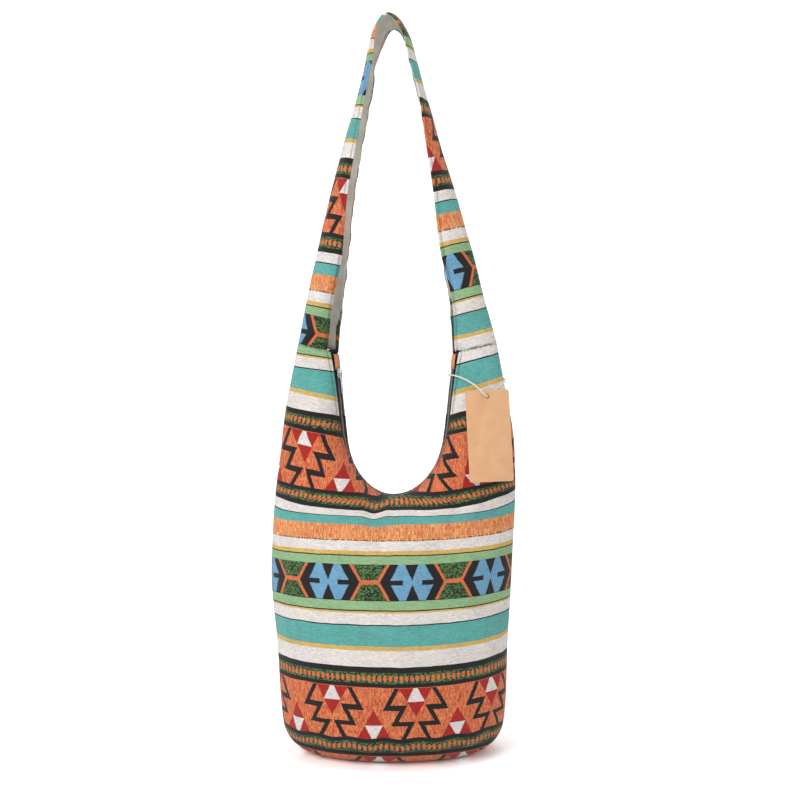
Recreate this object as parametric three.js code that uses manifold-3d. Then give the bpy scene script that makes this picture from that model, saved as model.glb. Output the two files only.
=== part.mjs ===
// A woven hobo bag: a soft body on an oval base, two horns that rise round a zipped U-shaped mouth,
// and one shoulder strap that joins the horns. Millimetres, +Z up, the front faces -Y.
import * as THREE from "three";
import { mergeVertices } from "three/addons/utils/BufferGeometryUtils.js";
import Module from "manifold-3d";

// Overall sizes
const BODY_HALF_WIDTH = 151;
const BODY_HALF_DEPTH = 85;
const HORN_TOP = 503;
const LOOP_TOP = 914;
const MOUTH_BOTTOM = 315;
const BASE_SEAM_HEIGHT = 19;
const BASE_CORNER_RADIUS = 37;

// Cloth thicknesses and the clearances between layers
const CLOTH = 1.2;
const LINING = 0.6;
const TAPE_THICKNESS = 0.5;
const LAYER_GAP = 0.5;
const SEAM_GAP = 0.4;

// The mouth: half its width at the top, its straight upper stretches and the channel for the zip
const MOUTH_LEFT = 71;
const MOUTH_RIGHT = 75;
const MOUTH_TOP_DROP = 11;
const STRAIGHT_RUN = 90;
const STRAIGHT_LEAN = 0.096;
const BEND_REACH = 0.6;
const SWEEP_REACH = 0.5;
const CREST_ROUNDING = 38;
const HORN_ROUNDING = 0.7;
const HORN_BLEND = 110;
const TAPE_TURN = 4;
const TAPE_TUCK = 1;
const TUCK_RUN = 3;
const COIL_INNER = 1;
const COIL_OUTER = 2.4;
const COIL_HEIGHT = 1.5;
const COIL_GAP = 0.3;

// How the soft shapes hang: the horns turn their zip a little to the front, the strap twists above them
const LEAN_SLOPE = Math.tan(THREE.MathUtils.degToRad(12));
const LEAN_RISE = 30;
const LEAN_FADE = 110;
const STRAP_TWIST = THREE.MathUtils.degToRad(-8);
const TWIST_RISE = 190;

// The zip's slider and pull
const SLIDER_LENGTH = 12;
const SLIDER_WIDTH = 10;
const SLIDER_MOUTH_WIDTH = 8;
const SLIDER_PLATE = 1;
const SLIDER_CLEARANCE = 0.35;
const SLIDER_DROP = 26;
const FLANGE = 1;
const FLANGE_STEP = 0.1;
const DIAMOND_WIDTH = 1.2;
const DIAMOND_LENGTH = 5;
const BAIL_WIDTH = 1.8;
const BAIL_HALF_LENGTH = 4;
const BAIL_THICKNESS = 1;
const PULL_LENGTH = 27;
const PULL_WIDTH = 6.5;
const PULL_THICKNESS = 1.3;
const PULL_AXIS_RISE = 1.55;
const PULL_SHOULDER = 7;
const PULL_WAIST = 10;
const PULL_WINDOW = 1.6;
const PULL_EYE = { fromEnd: 5, halfWidth: 1.2, halfLength: 2.8 };
const TAB_LENGTH = 19;
const TAB_TOP = 0.5;

// The channel over the zip leaves room for the slider, and the tapes run on under the cloth
const CREST_CLEARANCE = 1;
const CREST_HALF_WIDTH = SLIDER_WIDTH / 2 + CREST_CLEARANCE;
const TAPE_HALF_WIDTH = CREST_HALF_WIDTH + TAPE_TURN;

// The hang tag on its cord
const TAG_WIDTH = 53;
const TAG_HEIGHT = 112;
const TAG_THICKNESS = 0.5;
const TAG_CORNER = 3;
const TAG_HOLE = 2.5;
const TAG_HOLE_DROP = 8;
const CORD_DIAMETER = 2;

const LEFT = -1;
const RIGHT = 1;
const FRONT = -1;
const BACK = 1;

// Outlines as [share of the horn's height, share of the half size]; the base corner is cut from them
const SIDE_OUTLINE = {
  [LEFT]: [
    [0, 0.868],
    [0.12, 0.92],
    [0.26, 0.95],
    [0.38, 0.99],
    [0.45, 1],
    [0.62, 0.972],
    [0.77, 0.907],
    [0.87, 0.859],
    [1, 0.779],
  ],
  [RIGHT]: [
    [0, 0.868],
    [0.12, 0.918],
    [0.26, 0.934],
    [0.38, 0.958],
    [0.5, 0.978],
    [0.63, 1],
    [0.7, 0.997],
    [0.77, 0.982],
    [0.87, 0.925],
    [1, 0.846],
  ],
};
const DEPTH_OUTLINE = [
  [0, 0.94],
  [0.1, 1],
  [0.3, 1],
  [0.46, 0.92],
  [0.54, 0.8],
  [0.6, 0.68],
  [0.66, 0.58],
  [0.74, 0.47],
  [0.82, 0.37],
  [0.92, 0.24],
  [1, 0.165],
];

// The strap from the left horn over the shoulder to the right horn. Each station is [share of the half
// width, share of the rise, depth of the channel, half its width, how far its edges curl shut]
const STRAP_STATIONS = [
  [-0.702, 0.144, 41, 20, 0.45],
  [-0.619, 0.294, 36, 24, 0.12],
  [-0.522, 0.445, 26, 27, 0],
  [-0.415, 0.596, 19, 29, 0],
  [-0.295, 0.747, 12, 31, 0],
  [-0.224, 0.869, 10.5, 32, 0],
  [-0.172, 0.939, 8, 32, 0],
  [-0.103, 0.984, 7, 32, 0],
  [-0.02, 1, 6, 32, 0],
  [0.062, 0.984, 7, 32, 0],
  [0.134, 0.939, 8, 32, 0],
  [0.187, 0.869, 10.5, 32, 0],
  [0.276, 0.747, 12, 31, 0],
  [0.391, 0.596, 19, 29, 0],
  [0.514, 0.445, 26, 27, 0],
  [0.629, 0.294, 36, 24, 0.12],
  [0.735, 0.144, 41, 20, 0.45],
];
const STRAP_APEX = 9;

const clamp = THREE.MathUtils.clamp;
const lerp = THREE.MathUtils.lerp;
const smoothstep = THREE.MathUtils.smoothstep;

// A smooth cubic through stations whose first column rises; column is the one to read
function readStations(stations, at, column = 1) {
  const last = stations.length - 1;
  const slope = (i) => {
    const before = stations[Math.max(i - 1, 0)];
    const after = stations[Math.min(i + 1, last)];
    return (after[column] - before[column]) / (after[0] - before[0]);
  };
  let i = 0;
  while (i < last - 1 && at > stations[i + 1][0]) i += 1;
  const span = stations[i + 1][0] - stations[i][0];
  const t = clamp((at - stations[i][0]) / span, 0, 1);
  const [from, to] = [stations[i][column], stations[i + 1][column]];
  const blend = t * t * (3 - 2 * t);
  const leave = slope(i) * span * t * (1 - t) * (1 - t);
  const arrive = slope(i + 1) * span * t * t * (1 - t);
  return from + (to - from) * blend + leave - arrive;
}

// A quarter round: 0 at its edge with an upright tangent, 1 from its full length on
const round = (t) => Math.sqrt(1 - (1 - clamp(t, 0, 1)) ** 2);

const cornerInset = (z) => {
  const left = BASE_CORNER_RADIUS - Math.min(z, BASE_CORNER_RADIUS);
  return BASE_CORNER_RADIUS - Math.sqrt(BASE_CORNER_RADIUS ** 2 - left ** 2);
};
const halfWidthAt = (side, z) =>
  BODY_HALF_WIDTH * readStations(SIDE_OUTLINE[side], z / HORN_TOP) - cornerInset(z);
const halfDepthAt = (z) =>
  BODY_HALF_DEPTH * readStations(DEPTH_OUTLINE, z / HORN_TOP) - cornerInset(z);

// The mouth's edge on one side as a line down from its top and a curve to its lowest point
const MOUTH_TOP = HORN_TOP - MOUTH_TOP_DROP;
const MOUTH_SAMPLES = 120;
const mouthHalfWidth = { [LEFT]: MOUTH_LEFT, [RIGHT]: MOUTH_RIGHT };
function mouthCurve(side) {
  const top = new THREE.Vector2(side * mouthHalfWidth[side], MOUTH_TOP);
  const down = new THREE.Vector2(-side * STRAIGHT_LEAN, -1).normalize();
  const foot = top.clone().addScaledVector(down, STRAIGHT_RUN);
  const drop = foot.y - MOUTH_BOTTOM;
  const bend = foot.clone().addScaledVector(down, BEND_REACH * drop);
  const bottom = new THREE.Vector2(0, MOUTH_BOTTOM);
  const sweep = new THREE.Vector2(SWEEP_REACH * foot.x, MOUTH_BOTTOM);
  const path = new THREE.CurvePath();
  path.add(new THREE.LineCurve(top, foot));
  path.add(new THREE.CubicBezierCurve(foot, bend, sweep, bottom));
  return path;
}
const mouth = { [LEFT]: mouthCurve(LEFT), [RIGHT]: mouthCurve(RIGHT) };

// A point of the mouth's edge with its direction down the edge and its normal into the bag
function mouthFrame(side, share) {
  const at = mouth[side].getPointAt(clamp(share, 0, 1));
  const down = mouth[side].getTangentAt(clamp(share, 0, 1));
  const into = new THREE.Vector2(-side * down.y, side * down.x);
  return { at, down, into };
}
const mouthSamples = (side, inset) =>
  Array.from({ length: MOUTH_SAMPLES + 1 }, (_, i) => {
    const { at, into } = mouthFrame(side, i / MOUTH_SAMPLES);
    return at.clone().addScaledVector(into, inset);
  });
const sampleCache = new Map();
function mouthLine(side, inset) {
  const key = `${side} ${inset}`;
  if (!sampleCache.has(key)) {
    const line = mouthSamples(side, inset);
    const up = line[0].clone().sub(line[1]).normalize();
    line.unshift(line[0].clone().addScaledVector(up, STRAIGHT_RUN));
    sampleCache.set(key, line);
  }
  return sampleCache.get(key);
}

// Where the mouth's edge, moved into the bag by inset, stands at a height
function mouthXAt(side, z, inset) {
  const line = mouthLine(side, inset);
  let i = 0;
  while (i < line.length - 2 && line[i + 1].y > z) i += 1;
  const t = clamp((line[i].y - z) / (line[i].y - line[i + 1].y), 0, 1);
  return lerp(line[i].x, line[i + 1].x, t);
}
function distanceToMouth(x, z) {
  const line = mouthLine(x < 0 ? LEFT : RIGHT, 0);
  let best = Infinity;
  for (let i = 0; i + 1 < line.length; i += 1) {
    const [from, to] = [line[i], line[i + 1]];
    const [dx, dz] = [to.x - from.x, to.y - from.y];
    const t = clamp(((x - from.x) * dx + (z - from.y) * dz) / (dx * dx + dz * dz), 0, 1);
    best = Math.min(best, Math.hypot(x - from.x - t * dx, z - from.y - t * dz));
  }
  return best;
}

// How far a skin of the bag stands from the middle plane, for a skin that lies inset under the cloth
function depthAt(x, z, inset) {
  const side = x < 0 ? LEFT : RIGHT;
  const outer = halfWidthAt(side, z);
  const inner = z > MOUTH_BOTTOM ? Math.abs(mouthXAt(side, z, 0)) : 0;
  const width = outer - inner;
  const horn = smoothstep(z, MOUTH_BOTTOM, MOUTH_BOTTOM + HORN_BLEND);
  const sideRounding = lerp(outer, HORN_ROUNDING * width, horn);
  const fromSide = round((outer - Math.abs(x) - inset) / (sideRounding - inset));
  const rounding = Math.min(CREST_ROUNDING, width / 2);
  const fromMouth = round((distanceToMouth(x, z) - inset) / rounding);
  const crest = Math.min(CREST_HALF_WIDTH, halfDepthAt(z) - inset);
  return fromSide * (crest + (halfDepthAt(z) - inset - crest) * fromMouth);
}

// The hang of the finished bag: a lean of the horns' sections and a twist of the strap
function hang(point) {
  const lean =
    smoothstep(point.z, MOUTH_BOTTOM + LEAN_RISE, MOUTH_TOP - STRAIGHT_RUN) *
    (1 - smoothstep(point.z, HORN_TOP, HORN_TOP + LEAN_FADE));
  const shifted = point.clone();
  shifted.x -= Math.sign(point.x) * LEAN_SLOPE * lean * point.y;
  const twist = STRAP_TWIST * smoothstep(point.z, HORN_TOP, HORN_TOP + TWIST_RISE);
  return shifted.applyAxisAngle(new THREE.Vector3(0, 0, 1), twist);
}

// A surface gathered from quads, closed by merging its shared corners and turned to face out
class Skin {
  constructor() {
    this.corners = [];
  }
  quad(a, b, c, d, flip) {
    this.corners.push(...(flip ? [a, c, b, a, d, c] : [a, b, c, a, c, d]));
  }
  // Two grids of the same size, rows by columns, joined by a rim wherever rimAt says so
  shell(outer, inner, { flip = false, ends = [true, true], edges = () => [true, true] } = {}) {
    const rows = outer.length - 1;
    const columns = outer[0].length - 1;
    for (let i = 0; i < rows; i += 1) {
      for (let j = 0; j < columns; j += 1) {
        const [k, m] = [i + 1, j + 1];
        this.quad(outer[i][j], outer[i][m], outer[k][m], outer[k][j], flip);
        this.quad(inner[i][j], inner[k][j], inner[k][m], inner[i][m], flip);
      }
      const [first, last] = edges(i);
      const k = i + 1;
      if (first) this.quad(outer[i][0], outer[k][0], inner[k][0], inner[i][0], flip);
      if (last) {
        const c = columns;
        this.quad(outer[k][c], outer[i][c], inner[i][c], inner[k][c], flip);
      }
    }
    for (let j = 0; j < columns; j += 1) {
      const m = j + 1;
      if (ends[0]) this.quad(outer[0][m], outer[0][j], inner[0][j], inner[0][m], flip);
      if (ends[1]) {
        this.quad(outer[rows][j], outer[rows][m], inner[rows][m], inner[rows][j], flip);
      }
    }
    return this;
  }
  geometry() {
    const soup = new THREE.BufferGeometry().setFromPoints(this.corners.map(hang));
    return facingOut(mergeVertices(soup, 1e-4));
  }
}

// Drops triangles that have shrunk to a line, and turns a surface that faces in
function facingOut(geometry) {
  const corner = (i) => new THREE.Vector3().fromBufferAttribute(geometry.attributes.position, i);
  const index = [];
  let volume = 0;
  for (let i = 0; i < geometry.index.count; i += 3) {
    const [a, b, c] = [0, 1, 2].map((n) => geometry.index.getX(i + n));
    if (a === b || b === c || c === a) continue;
    index.push(a, b, c);
    volume += corner(a).dot(corner(b).cross(corner(c)));
  }
  if (volume < 0) index.reverse();
  return geometry.setIndex(index);
}

// The corners of one half of a front or back skin, as rows from its foot to the horn's top
const BODY_ROWS = 10;
const HORN_ROWS = 10;
const HALF_COLUMNS = 8;
const BODY_CROWDING = 2.1;
const HORN_CROWDING = 2;
function halfGrid(side, face, inset) {
  const mouthLow = MOUTH_BOTTOM - inset;
  const foot = BASE_SEAM_HEIGHT + SEAM_GAP;
  const grid = [];
  for (let i = 0; i <= BODY_ROWS + HORN_ROWS; i += 1) {
    const rise = (i - BODY_ROWS) / HORN_ROWS;
    const below = 1 - i / BODY_ROWS;
    const inBody = i <= BODY_ROWS;
    const outerZ = inBody
      ? mouthLow - (mouthLow - foot) * below ** BODY_CROWDING
      : mouthLow + (HORN_TOP - mouthLow) * rise ** HORN_CROWDING;
    const innerZ = inBody ? outerZ : mouthLow + (MOUTH_TOP - mouthLow) * rise ** HORN_CROWDING;
    const outerX = side * (halfWidthAt(side, outerZ) - inset);
    const innerX = inBody ? 0 : mouthXAt(side, innerZ, inset);
    const spread = inBody ? 0 : clamp(rise * 2, 0, 1);
    const row = [];
    for (let j = 0; j <= HALF_COLUMNS; j += 1) {
      const s = j / HALF_COLUMNS;
      const quarter = 1 - Math.cos((Math.PI / 2) * s);
      const half = (1 - Math.cos(Math.PI * s)) / 2;
      const across = lerp(quarter, half, spread);
      const x = lerp(outerX, innerX, across);
      const z = lerp(outerZ, innerZ, across);
      const y = Math.max(depthAt(x, z, inset), SEAM_GAP / 2);
      row.push(new THREE.Vector3(j === HALF_COLUMNS && inBody ? 0 : x, face * y, z));
    }
    grid.push(row);
  }
  return grid;
}

function panelGeometry(face, inset, thickness) {
  const skin = new Skin();
  for (const side of [LEFT, RIGHT]) {
    skin.shell(halfGrid(side, face, inset), halfGrid(side, face, inset + thickness), {
      flip: side === RIGHT,
      edges: (row) => [true, row >= BODY_ROWS],
    });
  }
  return skin.geometry();
}

// The base: an oval dish with a flat floor and a round corner up to its seam
const BASE_SEGMENTS = 32;
const CORNER_STEPS = 3;
function baseGrid(inset) {
  const seamAngle = Math.acos(1 - BASE_SEAM_HEIGHT / BASE_CORNER_RADIUS);
  const grid = [];
  for (let i = 0; i <= CORNER_STEPS + 2; i += 1) {
    const turn = Math.max(seamAngle * (1 - i / CORNER_STEPS), 0);
    const z = BASE_CORNER_RADIUS * (1 - Math.cos(turn));
    const floorShare = [1, 0.5, 0][Math.max(i - CORNER_STEPS, 0)];
    const lift = i ? inset * Math.cos(turn) : 0;
    const pull = i ? inset * Math.sin(turn) : inset;
    const row = [];
    for (let j = 0; j <= BASE_SEGMENTS; j += 1) {
      const angle = (2 * Math.PI * (j % BASE_SEGMENTS)) / BASE_SEGMENTS;
      const side = Math.cos(angle) < 0 ? LEFT : RIGHT;
      const x = floorShare * (halfWidthAt(side, z) - pull) * Math.cos(angle);
      const y = floorShare * (halfDepthAt(z) - pull) * Math.sin(angle);
      row.push(new THREE.Vector3(x, y, z + lift));
    }
    grid.push(row);
  }
  return grid;
}
const baseGeometry = (inset, thickness) =>
  new Skin()
    .shell(baseGrid(inset), baseGrid(inset + thickness), {
      ends: [true, false],
      edges: () => [false, false],
    })
    .geometry();

// The strap's outer line and section, from the seam on one horn to the seam on the other
const seamEnds = (side) => [
  new THREE.Vector2(side * halfWidthAt(side, HORN_TOP), HORN_TOP),
  new THREE.Vector2(mouthXAt(side, MOUTH_TOP, 0), MOUTH_TOP),
];
function seamStation(side) {
  const [outer, inner] = seamEnds(side);
  return [outer.x, outer.y, outer.distanceTo(inner), halfDepthAt(HORN_TOP), 1];
}
const strapRows = [
  seamStation(LEFT),
  ...STRAP_STATIONS.map(([x, rise, ...section]) => [
    x * BODY_HALF_WIDTH,
    HORN_TOP + rise * (LOOP_TOP - HORN_TOP),
    ...section,
  ]),
  seamStation(RIGHT),
].map((row, i) => [i, ...row]);
const strapRead = (at) => [1, 2, 3, 4, 5].map((column) => readStations(strapRows, at, column));

function strapFrame(at) {
  const step = 0.02;
  const last = strapRows.length - 1;
  const [x, z, depth, halfWidth, closed] = strapRead(at);
  const before = strapRead(Math.max(at - step, 0));
  const after = strapRead(Math.min(at + step, last));
  const along = new THREE.Vector2(after[0] - before[0], after[1] - before[1]).normalize();
  const inward = new THREE.Vector2(along.y, -along.x);
  const side = at < last / 2 ? LEFT : RIGHT;
  const [outer, inner] = seamEnds(side);
  const fromSeam = side === LEFT ? at : last - at;
  inward.lerp(inner.sub(outer).normalize(), clamp(1 - fromSeam, 0, 1)).normalize();
  return { x, z, depth, halfWidth, closed, along, inward };
}

const STRAP_STEPS = 20;
const STRAP_COLUMNS = 5;
function strapGrid(side, inset) {
  const last = strapRows.length - 1;
  const grid = [];
  for (let i = 0; i <= STRAP_STEPS; i += 1) {
    const share = i / STRAP_STEPS;
    const at = side === LEFT ? STRAP_APEX * share : last - (last - STRAP_APEX) * share;
    const { x, z, depth, halfWidth, closed, along, inward } = strapFrame(at);
    const shift = i === 0 ? SEAM_GAP : i === STRAP_STEPS ? -SEAM_GAP / 2 : 0;
    const start = new THREE.Vector2(x, z).addScaledVector(along, side === LEFT ? shift : -shift);
    const crest = Math.min(CREST_HALF_WIDTH, halfWidth - inset) * closed;
    const row = [];
    for (let j = -STRAP_COLUMNS; j <= STRAP_COLUMNS; j += 1) {
      const s = 1 - Math.abs(j) / STRAP_COLUMNS;
      const reach = lerp(Math.sin((Math.PI / 2) * s), (1 - Math.cos(Math.PI * s)) / 2, closed);
      const fromEdge = reach * (depth - inset);
      const sideRounding = depth * lerp(1, HORN_ROUNDING, closed) - inset;
      const turn = round((depth - inset - fromEdge) / sideRounding);
      const curl = lerp(1, round(fromEdge / (depth / 2)), closed);
      const y = turn * (crest + (halfWidth - inset - crest) * curl);
      const into = depth - fromEdge;
      const p = start.clone().addScaledVector(inward, into);
      row.push(new THREE.Vector3(p.x, Math.sign(j) * y, p.y));
    }
    grid.push(row);
  }
  return grid;
}
const strapGeometry = (side, inset, thickness) =>
  new Skin().shell(strapGrid(side, inset), strapGrid(side, inset + thickness)).geometry();

// The zip follows the mouth's edge from its left top, round the bottom, to its right top
const mouthLength = { [LEFT]: mouth[LEFT].getLength(), [RIGHT]: mouth[RIGHT].getLength() };
function zipFrame(along) {
  const side = along <= mouthLength[LEFT] ? LEFT : RIGHT;
  const fromTop = side === LEFT ? along : mouthLength[LEFT] + mouthLength[RIGHT] - along;
  return mouthFrame(side, fromTop / mouthLength[side]);
}

// The depth under the mouth's edge at which a skin reaches y, or the fullest that a slim horn allows
const DEEPEST_LOOK = 60;
function underCrest({ at, into }, y, inset) {
  const width = halfWidthAt(Math.sign(at.x) || RIGHT, at.y) - Math.abs(at.x);
  const fullest = Math.min(DEEPEST_LOOK, width / 2);
  const reach = (depth) => depthAt(at.x + into.x * depth, at.y + into.y * depth, inset);
  let [low, high] = [inset, fullest];
  if (reach(low) >= y) return [y, low];
  if (reach(high) < y) return [reach(high), high];
  for (let i = 0; i < 24; i += 1) {
    const middle = (low + high) / 2;
    if (reach(middle) < y) low = middle;
    else high = middle;
  }
  return [y, high];
}

// A strip along the zip whose section is a list of [y, depth under the mouth's edge]
function zipStrip(face, start, end, steps, sectionAt) {
  const grid = [];
  for (let i = 0; i <= steps; i += 1) {
    const frame = zipFrame(lerp(start, end, i / steps));
    grid.push(
      sectionAt(frame).map(([y, depth]) => {
        const p = frame.at.clone().addScaledVector(frame.into, depth);
        return new THREE.Vector3(p.x, face * y, p.y);
      }),
    );
  }
  return grid;
}
const zipLength = mouthLength[LEFT] + mouthLength[RIGHT];
const TAPE_INSET = CLOTH + LAYER_GAP;
const COIL_MIDDLE = TAPE_INSET - COIL_GAP - COIL_HEIGHT / 2;
const TAPE_STEPS = 44;
const TAPE_LINES = [
  COIL_INNER,
  CREST_HALF_WIDTH / 2,
  CREST_HALF_WIDTH + 0.3,
  TAPE_HALF_WIDTH - TAPE_TURN / 2,
  TAPE_HALF_WIDTH,
];
const tapeSection = (inset) => (frame) =>
  TAPE_LINES.map((line) => {
    const [y, depth] = underCrest(frame, line, inset);
    return [y, depth + TAPE_TUCK * smoothstep(y, CREST_HALF_WIDTH, CREST_HALF_WIDTH + TUCK_RUN)];
  });
function tapeGeometry(face) {
  const start = TAB_TOP + LINING + SEAM_GAP;
  const end = zipLength - start;
  const strip = (inset) => zipStrip(face, start, end, TAPE_STEPS, tapeSection(inset));
  return new Skin().shell(strip(TAPE_INSET), strip(TAPE_INSET + TAPE_THICKNESS)).geometry();
}
function coilGeometry(face) {
  const [start, end] = [TAB_LENGTH + 3, zipLength - TAB_LENGTH - 3];
  const foot = TAPE_INSET - COIL_GAP;
  const lines = [0, 0.25, 0.75, 1].map((s) => [s, Math.sin(Math.PI * clamp(s, 0.12, 0.88))]);
  const across = (s) => lerp(COIL_INNER, COIL_OUTER, s);
  const top = () => lines.map(([s, rise]) => [across(s), foot - COIL_HEIGHT * rise]);
  const bottom = () => lines.map(([s]) => [across(s), foot]);
  const strip = (section) => zipStrip(face, start, end, TAPE_STEPS, section);
  return new Skin().shell(strip(top), strip(bottom)).geometry();
}

// Solids that are cut or joined
const wasm = await Module();
wasm.setup();
function solid(geometry) {
  const bare = geometry.clone();
  for (const name of ["normal", "uv"]) bare.deleteAttribute(name);
  const merged = mergeVertices(bare, 1e-4);
  const vertProperties = new Float32Array(merged.attributes.position.array);
  const triVerts = new Uint32Array(merged.index.array);
  return new wasm.Manifold(new wasm.Mesh({ numProp: 3, vertProperties, triVerts }));
}
function toGeometry(made) {
  const mesh = made.getMesh();
  const geometry = new THREE.BufferGeometry();
  geometry.setAttribute("position", new THREE.BufferAttribute(mesh.vertProperties, 3));
  return geometry.setIndex(new THREE.BufferAttribute(mesh.triVerts, 1));
}
const block = (x, y, z, dx, dy, dz) =>
  solid(new THREE.BoxGeometry(dx, dy, dz).translate(x, y, z));
function plate(shape, thickness, bottom, curveSegments = 5) {
  const options = { depth: thickness, bevelEnabled: false, curveSegments };
  return solid(new THREE.ExtrudeGeometry(shape, options).translate(0, 0, bottom));
}

// Frames on the left straight stretch: x across the zip, y down along it, z out of the bag
function zipPlace(side, fromTop) {
  const { at, down, into } = mouthFrame(side, fromTop / mouthLength[side]);
  const yAxis = new THREE.Vector3(down.x, 0, down.y);
  const slant = new THREE.Vector3(-side * LEAN_SLOPE, 1, 0);
  const zAxis = new THREE.Vector3().crossVectors(slant, yAxis).normalize();
  if (zAxis.x * into.x > 0) zAxis.negate();
  const xAxis = new THREE.Vector3().crossVectors(yAxis, zAxis);
  const place = new THREE.Matrix4().makeBasis(xAxis, yAxis, zAxis);
  const middle = (COIL_MIDDLE + TAPE_INSET + TAPE_THICKNESS / 2) / 2;
  const centre = zAxis.clone().multiplyScalar(middle);
  centre.add(new THREE.Vector3(at.x + into.x * middle, 0, at.y + into.y * middle));
  return place.setPosition(centre);
}

// Heights in the slider's own frame, whose z = 0 is the mouth's edge
const COIL_TOP = COIL_HEIGHT + COIL_GAP - TAPE_INSET;
const TOP_PLATE = COIL_TOP + SLIDER_CLEARANCE;
const TOP_FACE = TOP_PLATE + SLIDER_PLATE;
const BOTTOM_FACE = -(TAPE_INSET + TAPE_THICKNESS + SLIDER_CLEARANCE);
const FLANGE_FOOT = -TAPE_INSET + SLIDER_CLEARANCE;
const PULL_AXIS = TOP_FACE + PULL_AXIS_RISE;

// The slider's plan: wide at the end where the two rows of coils come in, narrow where they leave
function sliderOutline(inset) {
  const sizes = [SLIDER_WIDTH / 2, SLIDER_MOUTH_WIDTH / 2, SLIDER_LENGTH / 2];
  const [wide, slim, half] = sizes.map((size) => size - inset);
  const shape = new THREE.Shape();
  shape.moveTo(-slim, half);
  shape.lineTo(slim, half);
  shape.lineTo(wide, -0.3 * half);
  shape.quadraticCurveTo(wide, -0.8 * half, 0.5 * wide, -half);
  shape.quadraticCurveTo(0, -0.8 * half, -0.5 * wide, -half);
  shape.quadraticCurveTo(-wide, -0.8 * half, -wide, -0.3 * half);
  shape.closePath();
  return shape;
}
function arch(halfLength, rise, reach) {
  const shape = new THREE.Shape();
  shape.moveTo(-halfLength, -reach);
  shape.lineTo(halfLength, -reach);
  shape.lineTo(halfLength, 0.35 * rise);
  shape.quadraticCurveTo(halfLength, rise, 0.5 * halfLength, rise);
  shape.lineTo(-0.5 * halfLength, rise);
  shape.quadraticCurveTo(-halfLength, rise, -halfLength, 0.35 * rise);
  shape.closePath();
  return shape;
}
function sliderGeometry() {
  const top = plate(sliderOutline(0), SLIDER_PLATE, TOP_PLATE);
  const bottom = plate(sliderOutline(0), SLIDER_PLATE, BOTTOM_FACE - SLIDER_PLATE);
  const depth = TOP_PLATE + SLIDER_PLATE / 2 - FLANGE_FOOT;
  const skirt = plate(sliderOutline(FLANGE_STEP), depth, FLANGE_FOOT);
  const inside = plate(sliderOutline(FLANGE), 3 * depth, -1.5 * depth);
  const through = block(0, 0, 0, SLIDER_MOUTH_WIDTH - 2 * FLANGE, 2 * SLIDER_LENGTH, 3 * depth);
  const channel = inside.add(through);
  const diamond = block(
    0,
    (DIAMOND_LENGTH - SLIDER_LENGTH) / 2,
    (TOP_PLATE + BOTTOM_FACE) / 2,
    DIAMOND_WIDTH,
    DIAMOND_LENGTH,
    TOP_PLATE - BOTTOM_FACE + SLIDER_PLATE,
  );
  const rise = PULL_AXIS_RISE + PULL_THICKNESS / 2 + SLIDER_CLEARANCE;
  const inner = arch(BAIL_HALF_LENGTH - 1.3 * BAIL_THICKNESS, rise, 2 * rise);
  const outer = arch(BAIL_HALF_LENGTH, rise + BAIL_THICKNESS, SLIDER_PLATE / 2);
  const upright = (shape, width) => plate(shape, width, -width / 2).rotate([90, 0, 90]);
  const bail = upright(outer, BAIL_WIDTH).subtract(upright(inner, 2 * BAIL_WIDTH));
  const body = top.add(bottom).add(skirt.subtract(channel)).add(diamond);
  return toGeometry(body.add(bail.translate(0, 0, TOP_FACE)));
}

// The pull: a bar under the bail, two arms beside it and a long tongue with an oval hole
function pullGeometry() {
  const [half, bar] = [PULL_WIDTH / 2, PULL_THICKNESS / 2];
  const tongue = new THREE.Shape();
  tongue.moveTo(-half, -bar);
  tongue.lineTo(half, -bar);
  tongue.lineTo(half, PULL_SHOULDER);
  tongue.lineTo(0.62 * half, PULL_WAIST);
  tongue.lineTo(0.8 * half, PULL_LENGTH - 4);
  tongue.quadraticCurveTo(0.8 * half, PULL_LENGTH, 0, PULL_LENGTH);
  tongue.quadraticCurveTo(-0.8 * half, PULL_LENGTH, -0.8 * half, PULL_LENGTH - 4);
  tongue.lineTo(-0.62 * half, PULL_WAIST);
  tongue.lineTo(-half, PULL_SHOULDER);
  tongue.closePath();
  const windowHalf = BAIL_WIDTH / 2 + LAYER_GAP;
  const window = new THREE.Path();
  window.moveTo(-windowHalf, bar);
  window.lineTo(-windowHalf, BAIL_HALF_LENGTH + PULL_WINDOW);
  window.lineTo(windowHalf, BAIL_HALF_LENGTH + PULL_WINDOW);
  window.lineTo(windowHalf, bar);
  window.closePath();
  const { fromEnd, halfWidth, halfLength } = PULL_EYE;
  const eye = new THREE.Path();
  eye.absellipse(0, PULL_LENGTH - fromEnd, halfWidth, halfLength, 0, 2 * Math.PI, true);
  tongue.holes.push(window, eye);
  return toGeometry(plate(tongue, PULL_THICKNESS, PULL_AXIS - PULL_THICKNESS / 2, 6));
}

// A folded cloth tab over an end of the zip, in the same frame as the slider
function tabGeometry() {
  const width = 2 * CREST_HALF_WIDTH - 2 * LAYER_GAP;
  const bottom = BOTTOM_FACE - LINING;
  const top = COIL_TOP + LAYER_GAP;
  const height = top - bottom;
  const centre = (top + bottom) / 2;
  const outside = block(0, TAB_LENGTH / 2, centre, width, TAB_LENGTH, height);
  const slit = block(0, TAB_LENGTH / 2 + LINING, centre, 2 * width, TAB_LENGTH, height - 2 * LINING);
  return toGeometry(outside.subtract(slit));
}

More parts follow.
